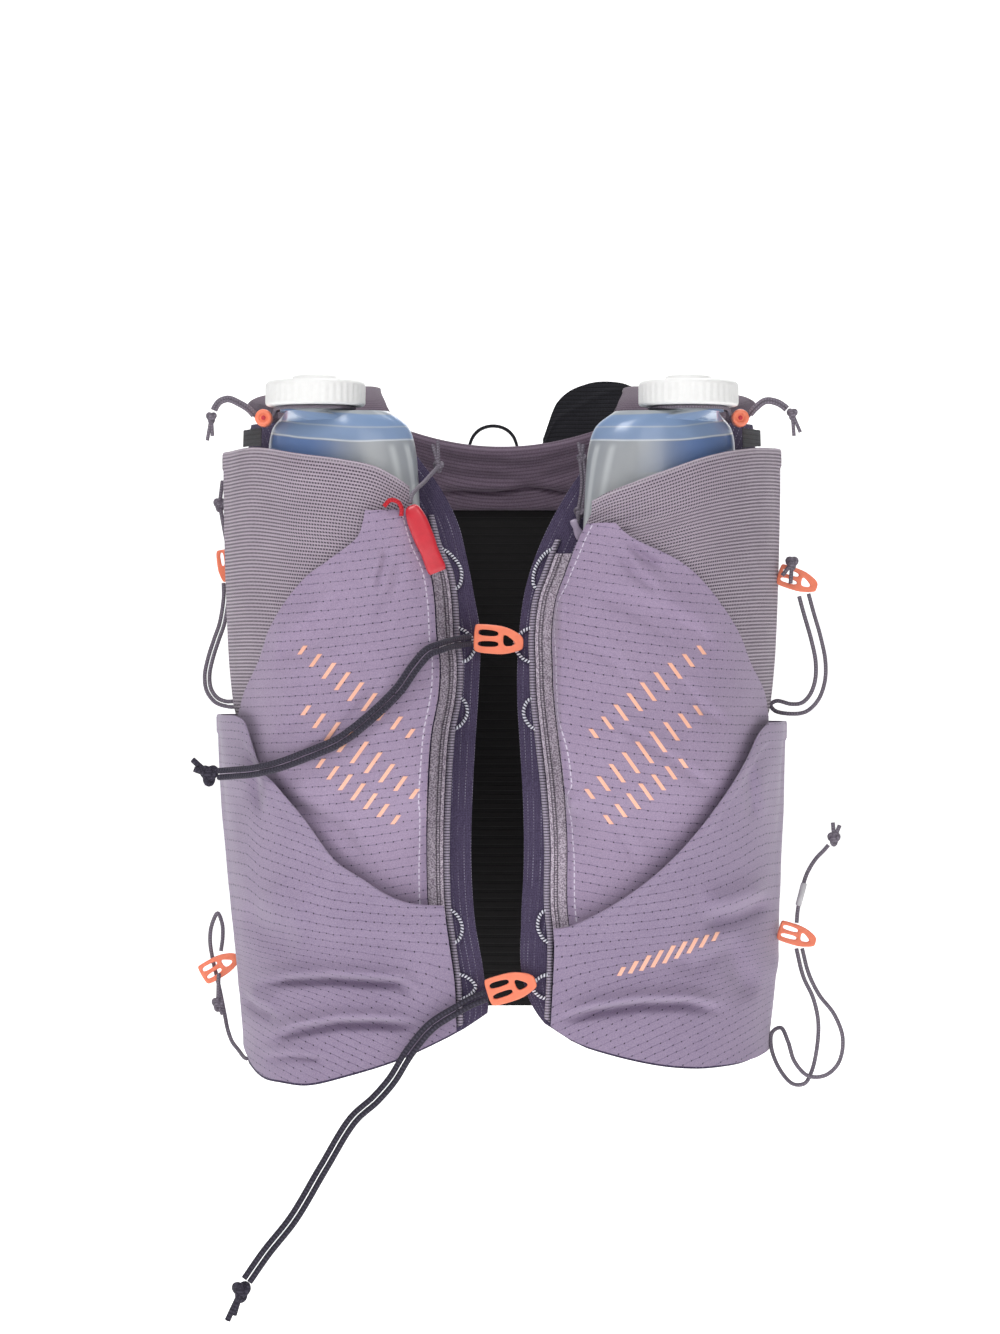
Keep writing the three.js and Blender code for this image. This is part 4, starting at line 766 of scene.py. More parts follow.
def wall_faces(count_rows, count_columns, start=0):
    """Faces of a closed wall between two grids that follow each other in one list of points."""
    index = np.arange(count_rows * count_columns).reshape(count_rows, count_columns) + start
    other = index + count_rows * count_columns
    faces = []
    for grid, order in ((index, (0, 1, 2, 3)), (other, (3, 2, 1, 0))):
        corners = (grid[:-1, :-1], grid[:-1, 1:], grid[1:, 1:], grid[1:, :-1])
        faces.append(np.stack([corners[k].ravel() for k in order], -1))
    rim = np.concatenate([index[0, :-1], index[:-1, -1], index[-1, :0:-1], index[:0:-1, 0]])
    far = rim + count_rows * count_columns
    faces.append(np.stack([rim, np.roll(rim, -1), np.roll(far, -1), far], -1))
    return np.concatenate(faces)


def wall(name, insides, outsides, look, slot, uv, edge=None, replaces=()):
    count_rows, count_columns = insides.shape[:2]
    points = np.concatenate([insides.reshape(-1, 3), outsides.reshape(-1, 3)])
    double = [None if m is None else np.concatenate([m.reshape(-1, 2)] * 2) for m in (uv, edge)]
    return make(name, points, wall_faces(count_rows, count_columns), look, slot, *double, replaces=replaces)


def arc(points, axis):
    """Distances along one direction of a grid of points, from its first edge."""
    steps = np.linalg.norm(np.diff(points, axis=axis), axis=-1)
    start = np.zeros_like(np.take(steps, [0], axis=axis))
    return np.concatenate([start, np.cumsum(steps, axis=axis)], axis=axis)


def across_for(z, share, layer):
    return solve(lambda a: front(z, a, sample(layer, z, a))[..., 0] / HALF_WIDTH, share, 0, 0.92)


def line(table, name, layer, moved=0.0):
    return lambda z: across_for(
        z, through(table, "down", name, -z / FRONT_HEIGHT) + moved / HALF_WIDTH, layer,
    )


def folds_at(folds, x, z):
    """Heights of listed creases: each has points, a width, a depth and a roll of cloth above it."""
    total = np.zeros_like(x)
    for points, width, deep, roll in folds:
        points = np.array(points, float)
        lengths = np.linalg.norm(np.diff(points, axis=0), axis=1)
        before, whole = np.concatenate([[0], np.cumsum(lengths)[:-1]]), lengths.sum()
        near, above, place = np.full(x.shape, 1e9), np.zeros_like(x), np.zeros_like(x)
        for start, end, length, run in zip(points[:-1], points[1:], lengths, before):
            way = (end - start) / length
            along = np.clip((x - start[0]) * way[0] + (z - start[1]) * way[1], 0, length)
            dx, dz = x - start[0] - way[0] * along, z - start[1] - way[1] * along
            distance = np.hypot(dx, dz)
            closer = distance < near
            up = -dx * way[1] + dz * way[0]
            near = np.where(closer, distance, near)
            above = np.where(closer, np.where(up * (1 if way[0] >= 0 else -1) >= 0, 1, -1), above)
            place = np.where(closer, (run + along) / whole, place)
        fade = ease(np.minimum(place, 1 - place) / 0.3 + 0.12)
        signed = near * above
        total -= FOLD_DEPTH * deep * np.exp(-((signed / width) ** 2)) * fade
        total += FOLD_DEPTH * roll * np.exp(-(((signed - 1.9 * width) / (1.5 * width)) ** 2)) * fade
    return total


def cloth(side, layer, wall_at, columns, rows_down, top, bottom, inner, outer, inward=1.0, downward=1.0,
          swell=None, folds=(), bow=None, floor=None):
    """Two grids of points for a panel trimmed by its tables, and the places of its weave in millimetres."""
    column = np.linspace(0, 1, columns + 1) ** inward
    ends = []
    for edge in (top, bottom):
        z = np.full(column.shape, -FRONT_HEIGHT / 2)
        for _ in range(14):
            across = mix(inner(z), outer(z), column)
            share = front(z, across, sample(layer, z, across))[..., 0] / HALF_WIDTH
            z = mix(z, -FRONT_HEIGHT * edge(share), 0.7)
        ends.append(z)
    high, low = ends
    grid = np.linspace(0, 1, rows_down + 1)[:, None]
    z = mix(low, high, (1 - grid) ** downward)
    across = mix(inner(z), outer(z), column)
    height = sample(layer, z, across)
    if swell:
        height = height + swell(z, across)
    plain = front(z, across, height)
    height = height + folds_at(folds, side * plain[..., 0], z)
    if floor:
        height = np.maximum(height, floor(z, across))
    thick = wall_at(grid + 0 * column, column + 0 * grid) if callable(wall_at) else wall_at
    faced = np.array([side, 1, 1])
    inside, outside = front(z, across, height) * faced, front(z, across, height + thick) * faced
    run = arc(plain, 1)
    fall = -z if bow is None else -z + bow(plain[..., 0] / HALF_WIDTH, -z / FRONT_HEIGHT) * FRONT_HEIGHT
    uv = np.stack([run, fall], -1)
    edge = np.stack([run[:, -1:] - run, high - z], -1)
    return inside, outside, uv, edge


fine = 1.0
FOLD_DEPTH = 2.0


def steps(count):
    return max(4, round(count * fine))


def wrap(z):
    return through(WRAP, "down", "out", -z / FRONT_HEIGHT)


def rolled(width, extra, wall, length):
    """A wall that is thicker near its top edge, as a hem is."""
    return lambda v, u: wall + extra * (1 - ease((v * length - width) / 1.2)) * ease(v * length / 0.6 + 0.4)


# Folds as the photograph shows them: points (x, z), width, depth, and height of the roll of cloth above
CHEST_FOLDS = {
    -1: (
        (((-121, -152), (-100, -138), (-74, -114)), 5, 1.9, 1.2),
        (((-105, -168), (-88, -160), (-68, -146)), 4.5, 1.4, 0.9),
        (((-125, -197), (-112, -188), (-97, -172)), 2.4, 0.9, 0.5),
        (((-112, -204), (-92, -196), (-62, -160)), 2.4, 0.8, 0.5),
        (((-92, -228), (-74, -214), (-60, -196)), 3, 0.8, 0.5),
        (((-60, -92), (-63, -104), (-66, -116)), 2.2, 1.3, 0.7),
        (((-52, -96), (-58, -118), (-70, -138)), 4, 1.0, 0.7),
        (((-118, -224), (-88, -240), (-70, -262)), 4, 0.9, 0.6),
    ),
    1: (
        (((46, -114), (78, -126), (115, -147)), 5.5, 1.9, 1.3),
        (((50, -177), (84, -200), (115, -222)), 2.2, 0.9, 0.6),
        (((45, -216), (58, -236), (75, -262)), 2.6, 0.9, 0.6),
        (((66, -88), (74, -96), (86, -102)), 2.4, 1.4, 0.8),
        (((60, -92), (70, -106), (84, -116)), 2.6, 1.1, 0.7),
        (((92, -160), (104, -176), (122, -188)), 3, 0.8, 0.5),
        (((40, -140), (56, -150), (70, -166)), 3.4, 0.7, 0.4),
    ),
}
MESH_FOLDS = {
    -1: (
        (((-136, -66), (-100, -62), (-66, -74)), 7, 0.7, 0.5),
        (((-142, -160), (-120, -166), (-104, -158)), 5, 0.8, 0.5),
        (((-144, -182), (-128, -186), (-116, -178)), 4, 0.8, 0.5),
    ),
    1: (
        (((44, -78), (58, -73), (80, -64)), 1.8, 0.8, 0.5),
        (((44, -83), (62, -78), (92, -68)), 1.8, 0.8, 0.5),
        (((44, -88), (66, -83), (100, -76)), 1.8, 0.7, 0.4),
        (((104, -150), (122, -160), (144, -158)), 5, 0.8, 0.5),
    ),
}
LOWER_FOLDS = {
    -1: (
        (((-136, -330), (-116, -325), (-93, -323), (-56, -324.5), (-44, -334)), 2.5, 3.0, 2.6),
        (((-128, -360), (-109, -352), (-88.5, -347.4), (-70, -346.6), (-42, -348)), 2.5, 3.2, 2.8),
        (((-130, -370), (-114, -367), (-94, -367.5)), 2.2, 1.4, 1.2),
        (((-142, -286), (-128, -298), (-108, -306)), 9, 2.4, 1.6),
        (((-143, -338), (-134, -343), (-122, -346)), 3.2, 1.8, 1.4),
        (((-134, -200), (-132, -216), (-130, -234)), 3, 1.5, 0.8),
        (((-96, -306), (-76, -302), (-44, -304)), 4, 0.8, 0.6),
    ),
    1: (
        (((28, -346), (50.4, -340), (74.7, -336.6), (99, -337), (120, -342)), 2.6, 3.0, 2.8),
        (((106, -292), (124, -290), (148, -284)), 5, 2.6, 2.0),
        (((122, -300), (128, -320), (138, -336)), 7, 1.8, 1.0),
        (((60, -262), (57, -276), (52, -288)), 4, 0.7, 0.4),
        (((132, -206), (134, -222), (136, -238)), 3, 1.2, 0.7),
        (((88, -312), (104, -316), (122, -308)), 5, 1.0, 0.8),
    ),
}

# How the rows of the weave run: shares of the half width out and of the height down give a lift of the rows


def mesh_bow(name):
    def lift(out, down):
        top = through(MESH_TOP, "out", name, out)
        return -(top - 0.1) * (1 - 0.65 * ease((down - 0.12) / 0.25))
    return lift


def chest_bow(out, down):
    return -0.05 * (out - 0.2) - 0.012 * np.sin(math.pi * out)


def lower_bow(name):
    def lift(out, down):
        line_of = through(MOUTH, "out", name, out) - 0.74
        near_mouth = -line_of * 0.26 * (1 - ease((down - 0.6) / 0.3))
        return near_mouth + 0.17 * (out - 0.4) * ease((down - 0.76) / 0.14)
    return lift


chest_grids = {}
lower_grids = {}
for name, side, binding_top, zip_top in (("left", -1, 0.19, 0.222), ("right", 1, 0.225, 0.245)):
    def edge(table, lift=0.0, name=name):
        return lambda share: through(table, "out", name, share) + lift
    past = PIPING_WIDTH + ZIP_WIDTH + 2 * SEAM

    grids = cloth(
        side, bare, BASE_WALL, steps(50), steps(120), lambda share: 0.052 + 0 * share, edge(HEM),
        line(INNER_EDGE, name, bare), wrap,
    )
    wall(f"base_{name}", *grids[:2], NAVY, "harness_mesh", *grids[2:], replaces=[f"front_base_{name}"])

    grids = cloth(
        side, mesh_layer, rolled(9, 0.7, MESH_WALL, 190), steps(120), steps(130),
        edge(MESH_TOP), edge(MESH_BOTTOM),
        line(BINDING, name, mesh_layer, past), wrap, 1.25, 1.35, folds=MESH_FOLDS[side], bow=mesh_bow(name),
    )
    wall(
        f"mesh_pocket_{name}", *grids[:2], MESH, "ribbed_mesh", *grids[2:],
        replaces=[f"flask_pocket_{name}"],
    )

    grids = cloth(
        side, chest_layer, PANEL_WALL, steps(110), steps(130), edge(CHEST_TOP), edge(
            MOUTH, POCKET_TUCK / FRONT_HEIGHT,
        ),
        line(BINDING, name, chest_layer, past), line(CHEST_EDGE, name, chest_layer), 1.35,
        folds=CHEST_FOLDS[side], bow=chest_bow, floor=lambda z, a: sample(mesh_layer, z, a) + MESH_WALL + 0.5,
    )
    chest_grids[side] = grids
    wall(f"chest_panel_{name}", *grids[:2], CHEST, "ripstop", *grids[2:], replaces=[f"chest_pocket_{name}"])

    def swell(z, across, name=name):
        fuller = HALF_WIDTH * through(SWELL, "down", name, -z / FRONT_HEIGHT) * ease((across - 0.5) / 0.5)
        over_chest = sample(chest_layer, z, across) + PANEL_WALL + 0.6
        over_mesh = sample(mesh_layer, z, across) + MESH_WALL + 0.8
        least = mix(over_chest, over_mesh, ease((across - 0.9) / 0.06))
        corner = ease((across - 0.8) / 0.14) * (1 - ease((-z / FRONT_HEIGHT - 0.52) / 0.14))
        return fuller - np.clip(sample(lower_layer, z, across) - least, 0, 8 * corner)
    grids = cloth(
        side, lower_layer, rolled(6, 0.8, PANEL_WALL, 120), steps(130), steps(120),
        edge(MOUTH), edge(HEM, -0.004),
        line(BINDING, name, lower_layer, PIPING_WIDTH + SEAM), wrap,
        swell=swell, folds=LOWER_FOLDS[side], bow=lower_bow(name), floor=lambda z, a: BASE_WALL + 0.8 + 0 * z,
    )
    lower_grids[side] = grids
    wall(
        f"lower_panel_{name}", *grids[:2], LOWER, "stretch_cloth", *grids[2:],
        replaces=[f"lower_pocket_{name}"],
    )

    grids = cloth(
        side, on_base, lambda v, u: ZIP_WALL * (
            0.55 + 0.45 * np.exp(-((u - 0.33) / 0.2) ** 2)
        ), 14, steps(150),
        lambda share: zip_top + 0 * share, edge(MOUTH, POCKET_TUCK / (2 * FRONT_HEIGHT)),
        line(BINDING, name, on_base, PIPING_WIDTH + SEAM), line(
            BINDING, name, on_base, PIPING_WIDTH + ZIP_WIDTH + SEAM,
        ),
    )
    wall(f"zip_{name}", *grids[:2], ZIP, "tape", *grids[2:], replaces=[f"zip_strip_{name}"])

    grids = cloth(
        side, on_base, lambda v, u: PIPING_WALL * np.sqrt(
            np.maximum(0.05, 1 - (2 * u - 1) ** 2 * 0.9),
        ), 8, steps(400),
        lambda share: binding_top + 0 * share, edge(HEM, -0.008),
        line(BINDING, name, on_base), line(BINDING, name, on_base, PIPING_WIDTH),
    )
    wall(f"piping_{name}", *grids[:2], PIPING, "tape", *grids[2:], replaces=[f"edge_webbing_{name}"])


# Tubes and cords

def smooth_route(points, spacing=1.0):
    """The centripetal curve through a route's points, as many close points."""
    points = np.asarray(points, float)
    padded = np.vstack([2 * points[0] - points[1], points, 2 * points[-1] - points[-2]])
    made = []
    for k in range(1, len(padded) - 2):
        p0, p1, p2, p3 = padded[k - 1:k + 3]
        a, b, c = (max(1e-6, np.linalg.norm(q - p) ** 0.5) for p, q in ((p0, p1), (p1, p2), (p2, p3)))
        m1 = ((p1 - p0) / a - (p2 - p0) / (a + b) + (p2 - p1) / b) * b
        m2 = ((p2 - p1) / b - (p3 - p1) / (b + c) + (p3 - p2) / c) * b
        count = max(2, math.ceil(np.linalg.norm(p2 - p1) / spacing))
        s = np.arange(count)[:, None] / count
        made.append(
            (2 * s**3 - 3 * s**2 + 1) * p1 + (s**3 - 2 * s**2 + s) * m1
            + (3 * s**2 - 2 * s**3) * p2 + (s**3 - s**2) * m2
        )
    return np.vstack([*made, points[-1:]])


def tube(points, radius, sides=12):
    """Points, faces and places of a round tube along close points."""
    points = np.asarray(points, float)
    tangents = np.gradient(points, axis=0)
    tangents /= np.linalg.norm(tangents, axis=1, keepdims=True)
    normal = np.cross(tangents[0], (0.3, 1.0, 0.2))
    normal /= np.linalg.norm(normal)
    run = np.concatenate([[0], np.cumsum(np.linalg.norm(np.diff(points, axis=0), axis=1))])
    turns = np.linspace(0, 2 * math.pi, sides, endpoint=False)
    rings, places = [], []
    for k, (point, tangent) in enumerate(zip(points, tangents)):
        normal = normal - tangent * normal.dot(tangent)
        normal /= np.linalg.norm(normal)
        other = np.cross(tangent, normal)
        wide = radius[k] if np.ndim(radius) else radius
        rings.append(point + wide * (np.outer(np.cos(turns), normal) + np.outer(np.sin(turns), other)))
        places.append(np.stack([np.full(sides, run[k]), np.arange(sides) / sides], -1))
    count = len(rings)
    index = np.arange(count * sides).reshape(count, sides)
    following = np.roll(index, -1, axis=1)
    faces = np.stack([index[:-1], following[:-1], following[1:], index[1:]], -1).reshape(-1, 4).tolist()
    faces += [index[0][::-1].tolist(), index[-1].tolist()]
    return np.vstack(rings), faces, np.vstack(places)


def merged(*shapes):
    points, faces, places, start = [], [], [], 0
    for shape in shapes:
        points.append(shape[0])
        faces += [[corner + start for corner in face] for face in shape[1]]
        places.append(shape[2])
        start += len(shape[0])
    return np.vstack(points), faces, np.vstack(places)


def thing(name, shape, look, slot, replaces=(), sharp=50):
    return make(name, shape[0], shape[1], look, slot, shape[2], replaces=replaces, sharp=sharp)


def besides(points, offset):
    """A strand beside a route, apart from its middle as seen from the front."""
    points = np.asarray(points, float)
    before, after = points[np.maximum(np.arange(len(points)) - 1, 0)], points[
        np.minimum(np.arange(len(points)) + 1, len(points) - 1)
    ]
    dx, dz = after[:, 0] - before[:, 0], after[:, 2] - before[:, 2]
    length = np.hypot(dx, dz)
    return points + np.stack([-dz / length, 0 * dx, dx / length], -1) * offset


def out_and_back(points, spread):
    points = np.asarray(points, float)
    way = points[-1] - points[-2]
    tip = points[-1] + way / np.linalg.norm(way) * spread
    return np.vstack([besides(points, spread), tip, besides(points, -spread)[::-1]])


def tied_knot(centre, radius, ends, diameter, stretch=1.25):
    """An overhand knot in a cord, with its cut ends."""
    turn = np.linspace(0, 2 * math.pi, 97)
    loop = np.stack(
        [np.sin(turn) + 2 * np.sin(2 * turn), -1.3 * np.sin(3 * turn), np.cos(turn) - 2 * np.cos(2 * turn)],
        -1,
    ) / 3
    loop = loop * (radius - diameter / 2) * np.array([1, 1, stretch]) + np.asarray(centre, float)
    core = np.linspace(0, 1, 12)[:, None] * np.array([0, 0, 1.5 * radius])
    core = core + np.asarray(centre, float) - (0, 0, 0.75 * radius)
    core_radius = 0.62 * radius * np.sin(np.linspace(0.25, math.pi - 0.25, 12))
    shapes = [tube(loop, diameter / 2), tube(core, core_radius)]
    for end in ends:
        middle = (np.asarray(centre, float) + np.asarray(end, float)) / 2 + (0, -0.4, 0)
        shapes.append(tube(smooth_route([centre, middle, end], 0.8), diameter / 2))
    return merged(*shapes)


def cord(
    name, points, diameter, look, slot, replaces,
):
    path = smooth_route(points)
    made = thing(name, tube(path, diameter / 2), look, slot, replaces)
    return made


# Sternum cords: two springy elastics side by side from each hook to a knot
STERNUM_CORD, SIDE_CORD, THIN_CORD = 3.2, 2.3, 2.0
STERNUM = {
    "upper": (
        [
            (-17, -106.6, -140.6), (-21, -111, -141.2), (-27, -121, -142.5), (-33, -133, -144.5),
            (-39, -138.5, -147), (-46.5, -142.5, -155.5), (-54.5, -145, -167), (-70, -145.5, -182),
            (-86, -142.5, -194), (-102, -136, -201), (-118, -126.5, -207), (-132, -115, -210.5),
            (-145, -100.5, -212), (-152.8, -93.4, -212.7),
        ],
        (-158, -91, -213), [(-166, -93, -210), (-167, -90, -205)], (-2, -140), 0,
    ),
    "lower": (
        [
            (-8.5, -104.3, -331.4), (-16, -106, -334.2), (-25, -108, -339), (-38, -107.5, -347.5),
            (-50, -105, -362), (-59, -103.5, -376.5), (-68, -102.5, -387), (-80, -102, -398),
            (-96, -101, -424), (-112, -101, -451), (-127, -101, -470), (-137, -101, -484.4),
        ],
        (-140, -101, -490), [(-144, -101, -503), (-147.5, -100, -506)], (4.6, -326), -21,
    ),
}
for name, (route, centre, ends, at, roll) in STERNUM.items():
    knot = thing(
        f"tied_knot_{name}", tied_knot(centre, 1.75 * STERNUM_CORD, ends, STERNUM_CORD), SLATE, "dark_cord",
        [f"sternum_knot_{name}"],
    )
    apart = (STERNUM_CORD + 0.4) / 2
    for strand, offset in (("a", apart), ("b", -apart)):
        cord(
            f"elastic_{name}_{strand}", besides(route, offset), STERNUM_CORD, SLATE, "dark_cord",
            [f"sternum_cord_{name}_{strand}"],
        )

# Side compression cords
UPPER_LEFT = [
    (-154.6, -5.4, -108.2), (-154.6, -3, -114), (-155.4, 0, -121), (-157.4, 2, -131), (-160.6, 3, -140),
    (-163.9, 2.6, -150.5), (-165.6, 2, -160), (-164.4, 0, -168), (-160, -2, -173.6), (-154.6, -4, -175.6),
    (-149.6, -6.6, -175.8),
]
UPPER_RIGHT = [
    (166.9, -35, -115.1), (169.6, -35, -125), (173.6, -35, -139), (176.2, -35, -152), (175.8, -35, -163),
    (172.5, -34, -172), (167, -33, -177.3), (160, -31.6, -178.2), (151.6, -30, -176.4),
]
LOWER_LEFT = [
    (-141.8, -26, -372.4), (-144, -16, -372.4), (-147.4, -7, -369.4), (-151.4, -1.5, -365),
    (-154, 1, -358.6), (-155.6, 2.2, -351), (-157.6, 2.8, -341), (-160, 3, -330), (-162.6, 3, -319),
    (-164, 2.4, -308.5), (-163, 1.6, -300), (-159.6, 0.2, -293.2), (-157, -0.8, -299), (-156.6, -1.6, -306),
    (-157.6, -2, -314.4),
]
LOWER_RIGHT = [
    (166, -35, -310.6), (169.6, -35, -324.4), (175.4, -35, -336.2), (183.6, -36, -346.9), (188.3, -37, -360),
    (186, -38, -373.4), (178.5, -39, -380.4), (169.2, -38, -380.8), (162, -33, -373.4), (158.6, -28, -362.5),
    (155, -24, -355.4), (150.4, -22, -358), (149.8, -22, -366.6), (154.4, -25, -378.6), (161.4, -31, -386),
    (167.6, -34.4, -385.2), (171, -34.4, -379.4), (173.8, -34.4, -368.4), (175, -34.6, -352),
    (172.2, -35, -338.4), (166.6, -35, -326), (162.8, -35, -310.6),
]
LOWER_RIGHT_TAIL = [
    (163, -35, -296.4), (163.6, -35.6, -289), (165.2, -37.6, -281), (168.2, -36.4, -270),
    (173.2, -35.4, -261.5), (178.4, -35, -256), (180.6, -35, -253.4),
]
SIDE_HOOKS = {
    "upper_left": (
        (-154.2, -5.8, -98), 80, 0.8, (-158, -6.4, -64),
        [(-156.4, -6.4, -50.6), (-155.4, -6, -78), (-153.6, -5.4, -88.4)],
    ),
    "upper_right": (
        (163.5, -35, -106.5), 14, 1, (160, -40.4, -97.5), [(154.6, -41, -104.6), (159.2, -41, -109)],
    ),
    "lower_left": (
        (-158.6, -2, -322.5), -34, 1, (-159, -6, -343.6), [(-158.6, -5.2, -326.5), (-156.4, -6, -349.5)],
    ),
    "lower_right": (
        (163.2, -35, -303), 13, 0.95, (183.6, -35, -249.8), [(183, -35, -241), (186.8, -35, -242.5)],
    ),
}
for name, (at, roll, scale, centre, ends) in SIDE_HOOKS.items():
    thing(
        f"tied_side_knot_{name}", tied_knot(centre, 1.7 * SIDE_CORD, ends, SIDE_CORD), GREY, "grey_cord",
        [f"side_knot_{name}"],
    )
UPPER_LEFT_APART, UPPER_RIGHT_APART = 1.35, 2.7
side_routes = {
    "upper_left": out_and_back(UPPER_LEFT, UPPER_LEFT_APART),
    "upper_right": out_and_back(UPPER_RIGHT, UPPER_RIGHT_APART),
    "lower_left": LOWER_LEFT, "lower_right": LOWER_RIGHT,
}
for name, route in side_routes.items():
    cord(f"side_elastic_{name}", route, SIDE_CORD, GREY, "grey_cord", [f"side_cord_{name}"])
cord(
    "side_elastic_tail", LOWER_RIGHT_TAIL, SIDE_CORD, GREY, "grey_cord", ["side_tail_lower_right"],
)
thing(
    "tail_sleeve", tube(
        smooth_route([(163.9, -36.2, -286.5), (165.2, -37.6, -281), (166.9, -37.1, -274.5)]), 1.75,
    ), SLEEVE,
    "grey_cord",
)


# Hooks

HOOK_OUTLINE = [
    (-0.5, -0.32), (-0.42, -0.44), (0, -0.5), (0.2, -0.48), (0.46, -0.36), (0.5, -0.26),
    (0.5, 0.1), (0.14, 0.42), (-0.4, 0.5), (-0.47, 0.44),
]
HOOK_HOLES = [
    [(-0.4, 0.12), (0, 0.08), (0, 0.26), (-0.38, 0.33)],
    [(-0.4, -0.24), (0, -0.26), (0, -0.08), (-0.4, -0.06)],
    [(0.1, -0.24), (0.3, -0.22), (0.34, -0.1), (0.1, 0.2)],
]


def cut_corners(points, rounds=2, share=0.22):
    points = np.asarray(points, float)
    for _ in range(rounds):
        following = np.roll(points, -1, axis=0)
        pairs = [mix(points, following, share), mix(points, following, 1 - share)]
        points = np.stack(pairs, 1).reshape(-1, 2)
    return points


def rolled_by(points, roll):
    """Points turned about the line of sight by an angle in degrees."""
    angle = math.radians(roll)
    x = points[..., 0] * math.cos(angle) + points[..., 2] * math.sin(angle)
    z = -points[..., 0] * math.sin(angle) + points[..., 2] * math.cos(angle)
    return np.stack([x, points[..., 1], z], -1)


def hook(name, length, width, at, roll, holes, replaces):
    """A moulded hook plate with rounded rims, facing forward and rolled about the line of sight."""
    curve = bpy.data.curves.new(name, "CURVE")
    curve.dimensions = "2D"
    curve.fill_mode = "BOTH"
    curve.extrude = 0.9
    curve.bevel_depth = 0.7
    curve.bevel_resolution = 3
    curve.offset = -0.7
    for outline in [HOOK_OUTLINE, *holes]:
        points = cut_corners(outline) * (length, width)
        spline = curve.splines.new("POLY")
        spline.points.add(len(points) - 1)
        for point, (x, y) in zip(spline.points, points):
            point.co = (x, y, 0, 1)
        spline.use_cyclic_u = True
    carrier = bpy.data.objects.new(name, curve)
    mesh = bpy.data.meshes.new_from_object(carrier)
    bpy.data.objects.remove(carrier)
    bpy.data.curves.remove(curve)
    points = np.array([v.co for v in mesh.vertices], float)
    faces = [list(p.vertices) for p in mesh.polygons]
    bpy.data.meshes.remove(mesh)
    upright = np.stack([points[:, 0], -points[:, 2], points[:, 1]], -1)
    placed = rolled_by(upright, roll) + np.asarray(at, float)
    return make(name, placed, faces, CORAL, "coral_plastic", replaces=replaces, sharp=40)


def hook_depth(z):
    return float(front(z, 0.0, BASE_WALL + SEAM + PIPING_WALL)[1]) - SEAM - 1.6


for name, (route, centre, ends, at, roll) in STERNUM.items():
    hook(
        f"hook_{name}", 27, 16.5, (at[0], hook_depth(at[1]), at[1]), roll, HOOK_HOLES,
        [f"sternum_hook_{name}"],
    )
for name, (at, roll, scale, centre, ends) in SIDE_HOOKS.items():
    holes = HOOK_HOLES[:2] if name == "upper_left" else HOOK_HOLES
    hook(f"hook_{name}", 23 * scale, 13 * scale, at, roll, holes, [f"side_hook_{name}"])


# Daisy loops on the edge webbing

for name, side in SIDES:
    loops = []
    for down_at, long, reach_share in LOOPS:
        points = []
        for place in (-1, -0.75, 0, 0.75, 1):
            z = -FRONT_HEIGHT * (down_at + long / 2 * place)
            out = -PIPING_WIDTH / 2 if abs(place) == 1 else LOOP_REACH * reach_share * (1 - place**2)
            share_at = through(BINDING, "down", name, -z / FRONT_HEIGHT) - out / HALF_WIDTH
            point = front(z, across_for(np.array(z), share_at, on_base), BASE_WALL + SEAM + LOOP_RADIUS)
            points.append((side * point[0], point[1], z))
        loops.append(tube(smooth_route(points, 0.6), LOOP_RADIUS, 10))
    thing(f"daisy_loops_{name}", merged(*loops), LOOP, "tape")


# Shoulder straps, collar and back

strap_front = float(along_front(-0.052 * FRONT_HEIGHT + SEAM))
strap_back = float(along_back(-YOKE_DROP))


def across_body(x):
    return solve(lambda a: section(angle_at(a), BACK_DEPTH)[0], x, 0, 1)


def shell(name, columns, rows_down, place, low, high, look, slot, replaces, crown=0.0):
    """A padded or plain panel raised from the body form, crowned towards its middle."""
    v, u = np.meshgrid(np.linspace(0, 1, rows_down + 1), np.linspace(0, 1, columns + 1), indexing="ij")
    along, across = place(u, v)
    rim = np.minimum(np.minimum(u, 1 - u) * columns, np.minimum(v, 1 - v) * rows_down)
    soft = 1 - crown * np.exp(-rim / 2.2)
    bottom, top = low(u, v), high(u, v)
    middle = (bottom + top) / 2
    inside = raised(along, across, middle + (bottom - middle) * soft)
    outside = raised(along, across, middle + (top - middle) * soft)
    uv = np.stack([arc(outside, 1), arc(outside, 0)], -1)
    edge = np.stack([arc(outside, 1) + 30, arc(outside, 0)], -1)
    return wall(name, inside, outside, look, slot, uv, edge, replaces)


for name, side in SIDES:
    def strap_place(u, v, side=side):
        inner = HALF_WIDTH * through(STRAP, "at", "inner", v)
        outer = HALF_WIDTH * through(STRAP, "at", "outer", v) * (1 - 0.09 * (1 - ease(v / 0.5)))
        return mix(strap_front, strap_back, v), side * across_body(mix(inner, outer, u))
    strap = shell(
        f"strap_{name}", steps(48), steps(110), strap_place,
        lambda u, v: 0 * u, lambda u, v: STRAP_WALL + 0 * u,
        STRAP_MESH, "harness_mesh", [f"shoulder_strap_{name}"], 0.75,
    )


def collar_place(u, v):
    out = 2 * u - 1
    along = along_back(mix(-NECK_DROP + 11 * out**2, -YOKE_DROP, v))
    strap_share = through(STRAP, "at", "inner", (along - strap_front) / (strap_back - strap_front))
    along = along + 0 * out
    return along, np.sign(out) * across_body(np.abs(out) * (HALF_WIDTH * strap_share - SEAM))


def collar_creases(u, v):
    """Soft rolls across the inside of the collar, over one deep crease near its foot."""
    wander = 0.05 * np.sin(7 * u + 0.6) + 0.03 * np.sin(17 * u)
    rolls = 0.5 * np.sin(2 * math.pi * 4 * (v + wander)) * (1 - ease((v - 0.6) / 0.2))
    fold = -2.6 * np.exp(-(((v - 0.7 - wander) / 0.035) ** 2))
    fold = fold + 1.8 * np.exp(-(((v - 0.58 - wander) / 0.09) ** 2))
    return (rolls + fold) * np.sin(math.pi * np.clip(u, 0, 1)) ** 0.3 * ease(v / 0.1) * ease((1 - v) / 0.1)


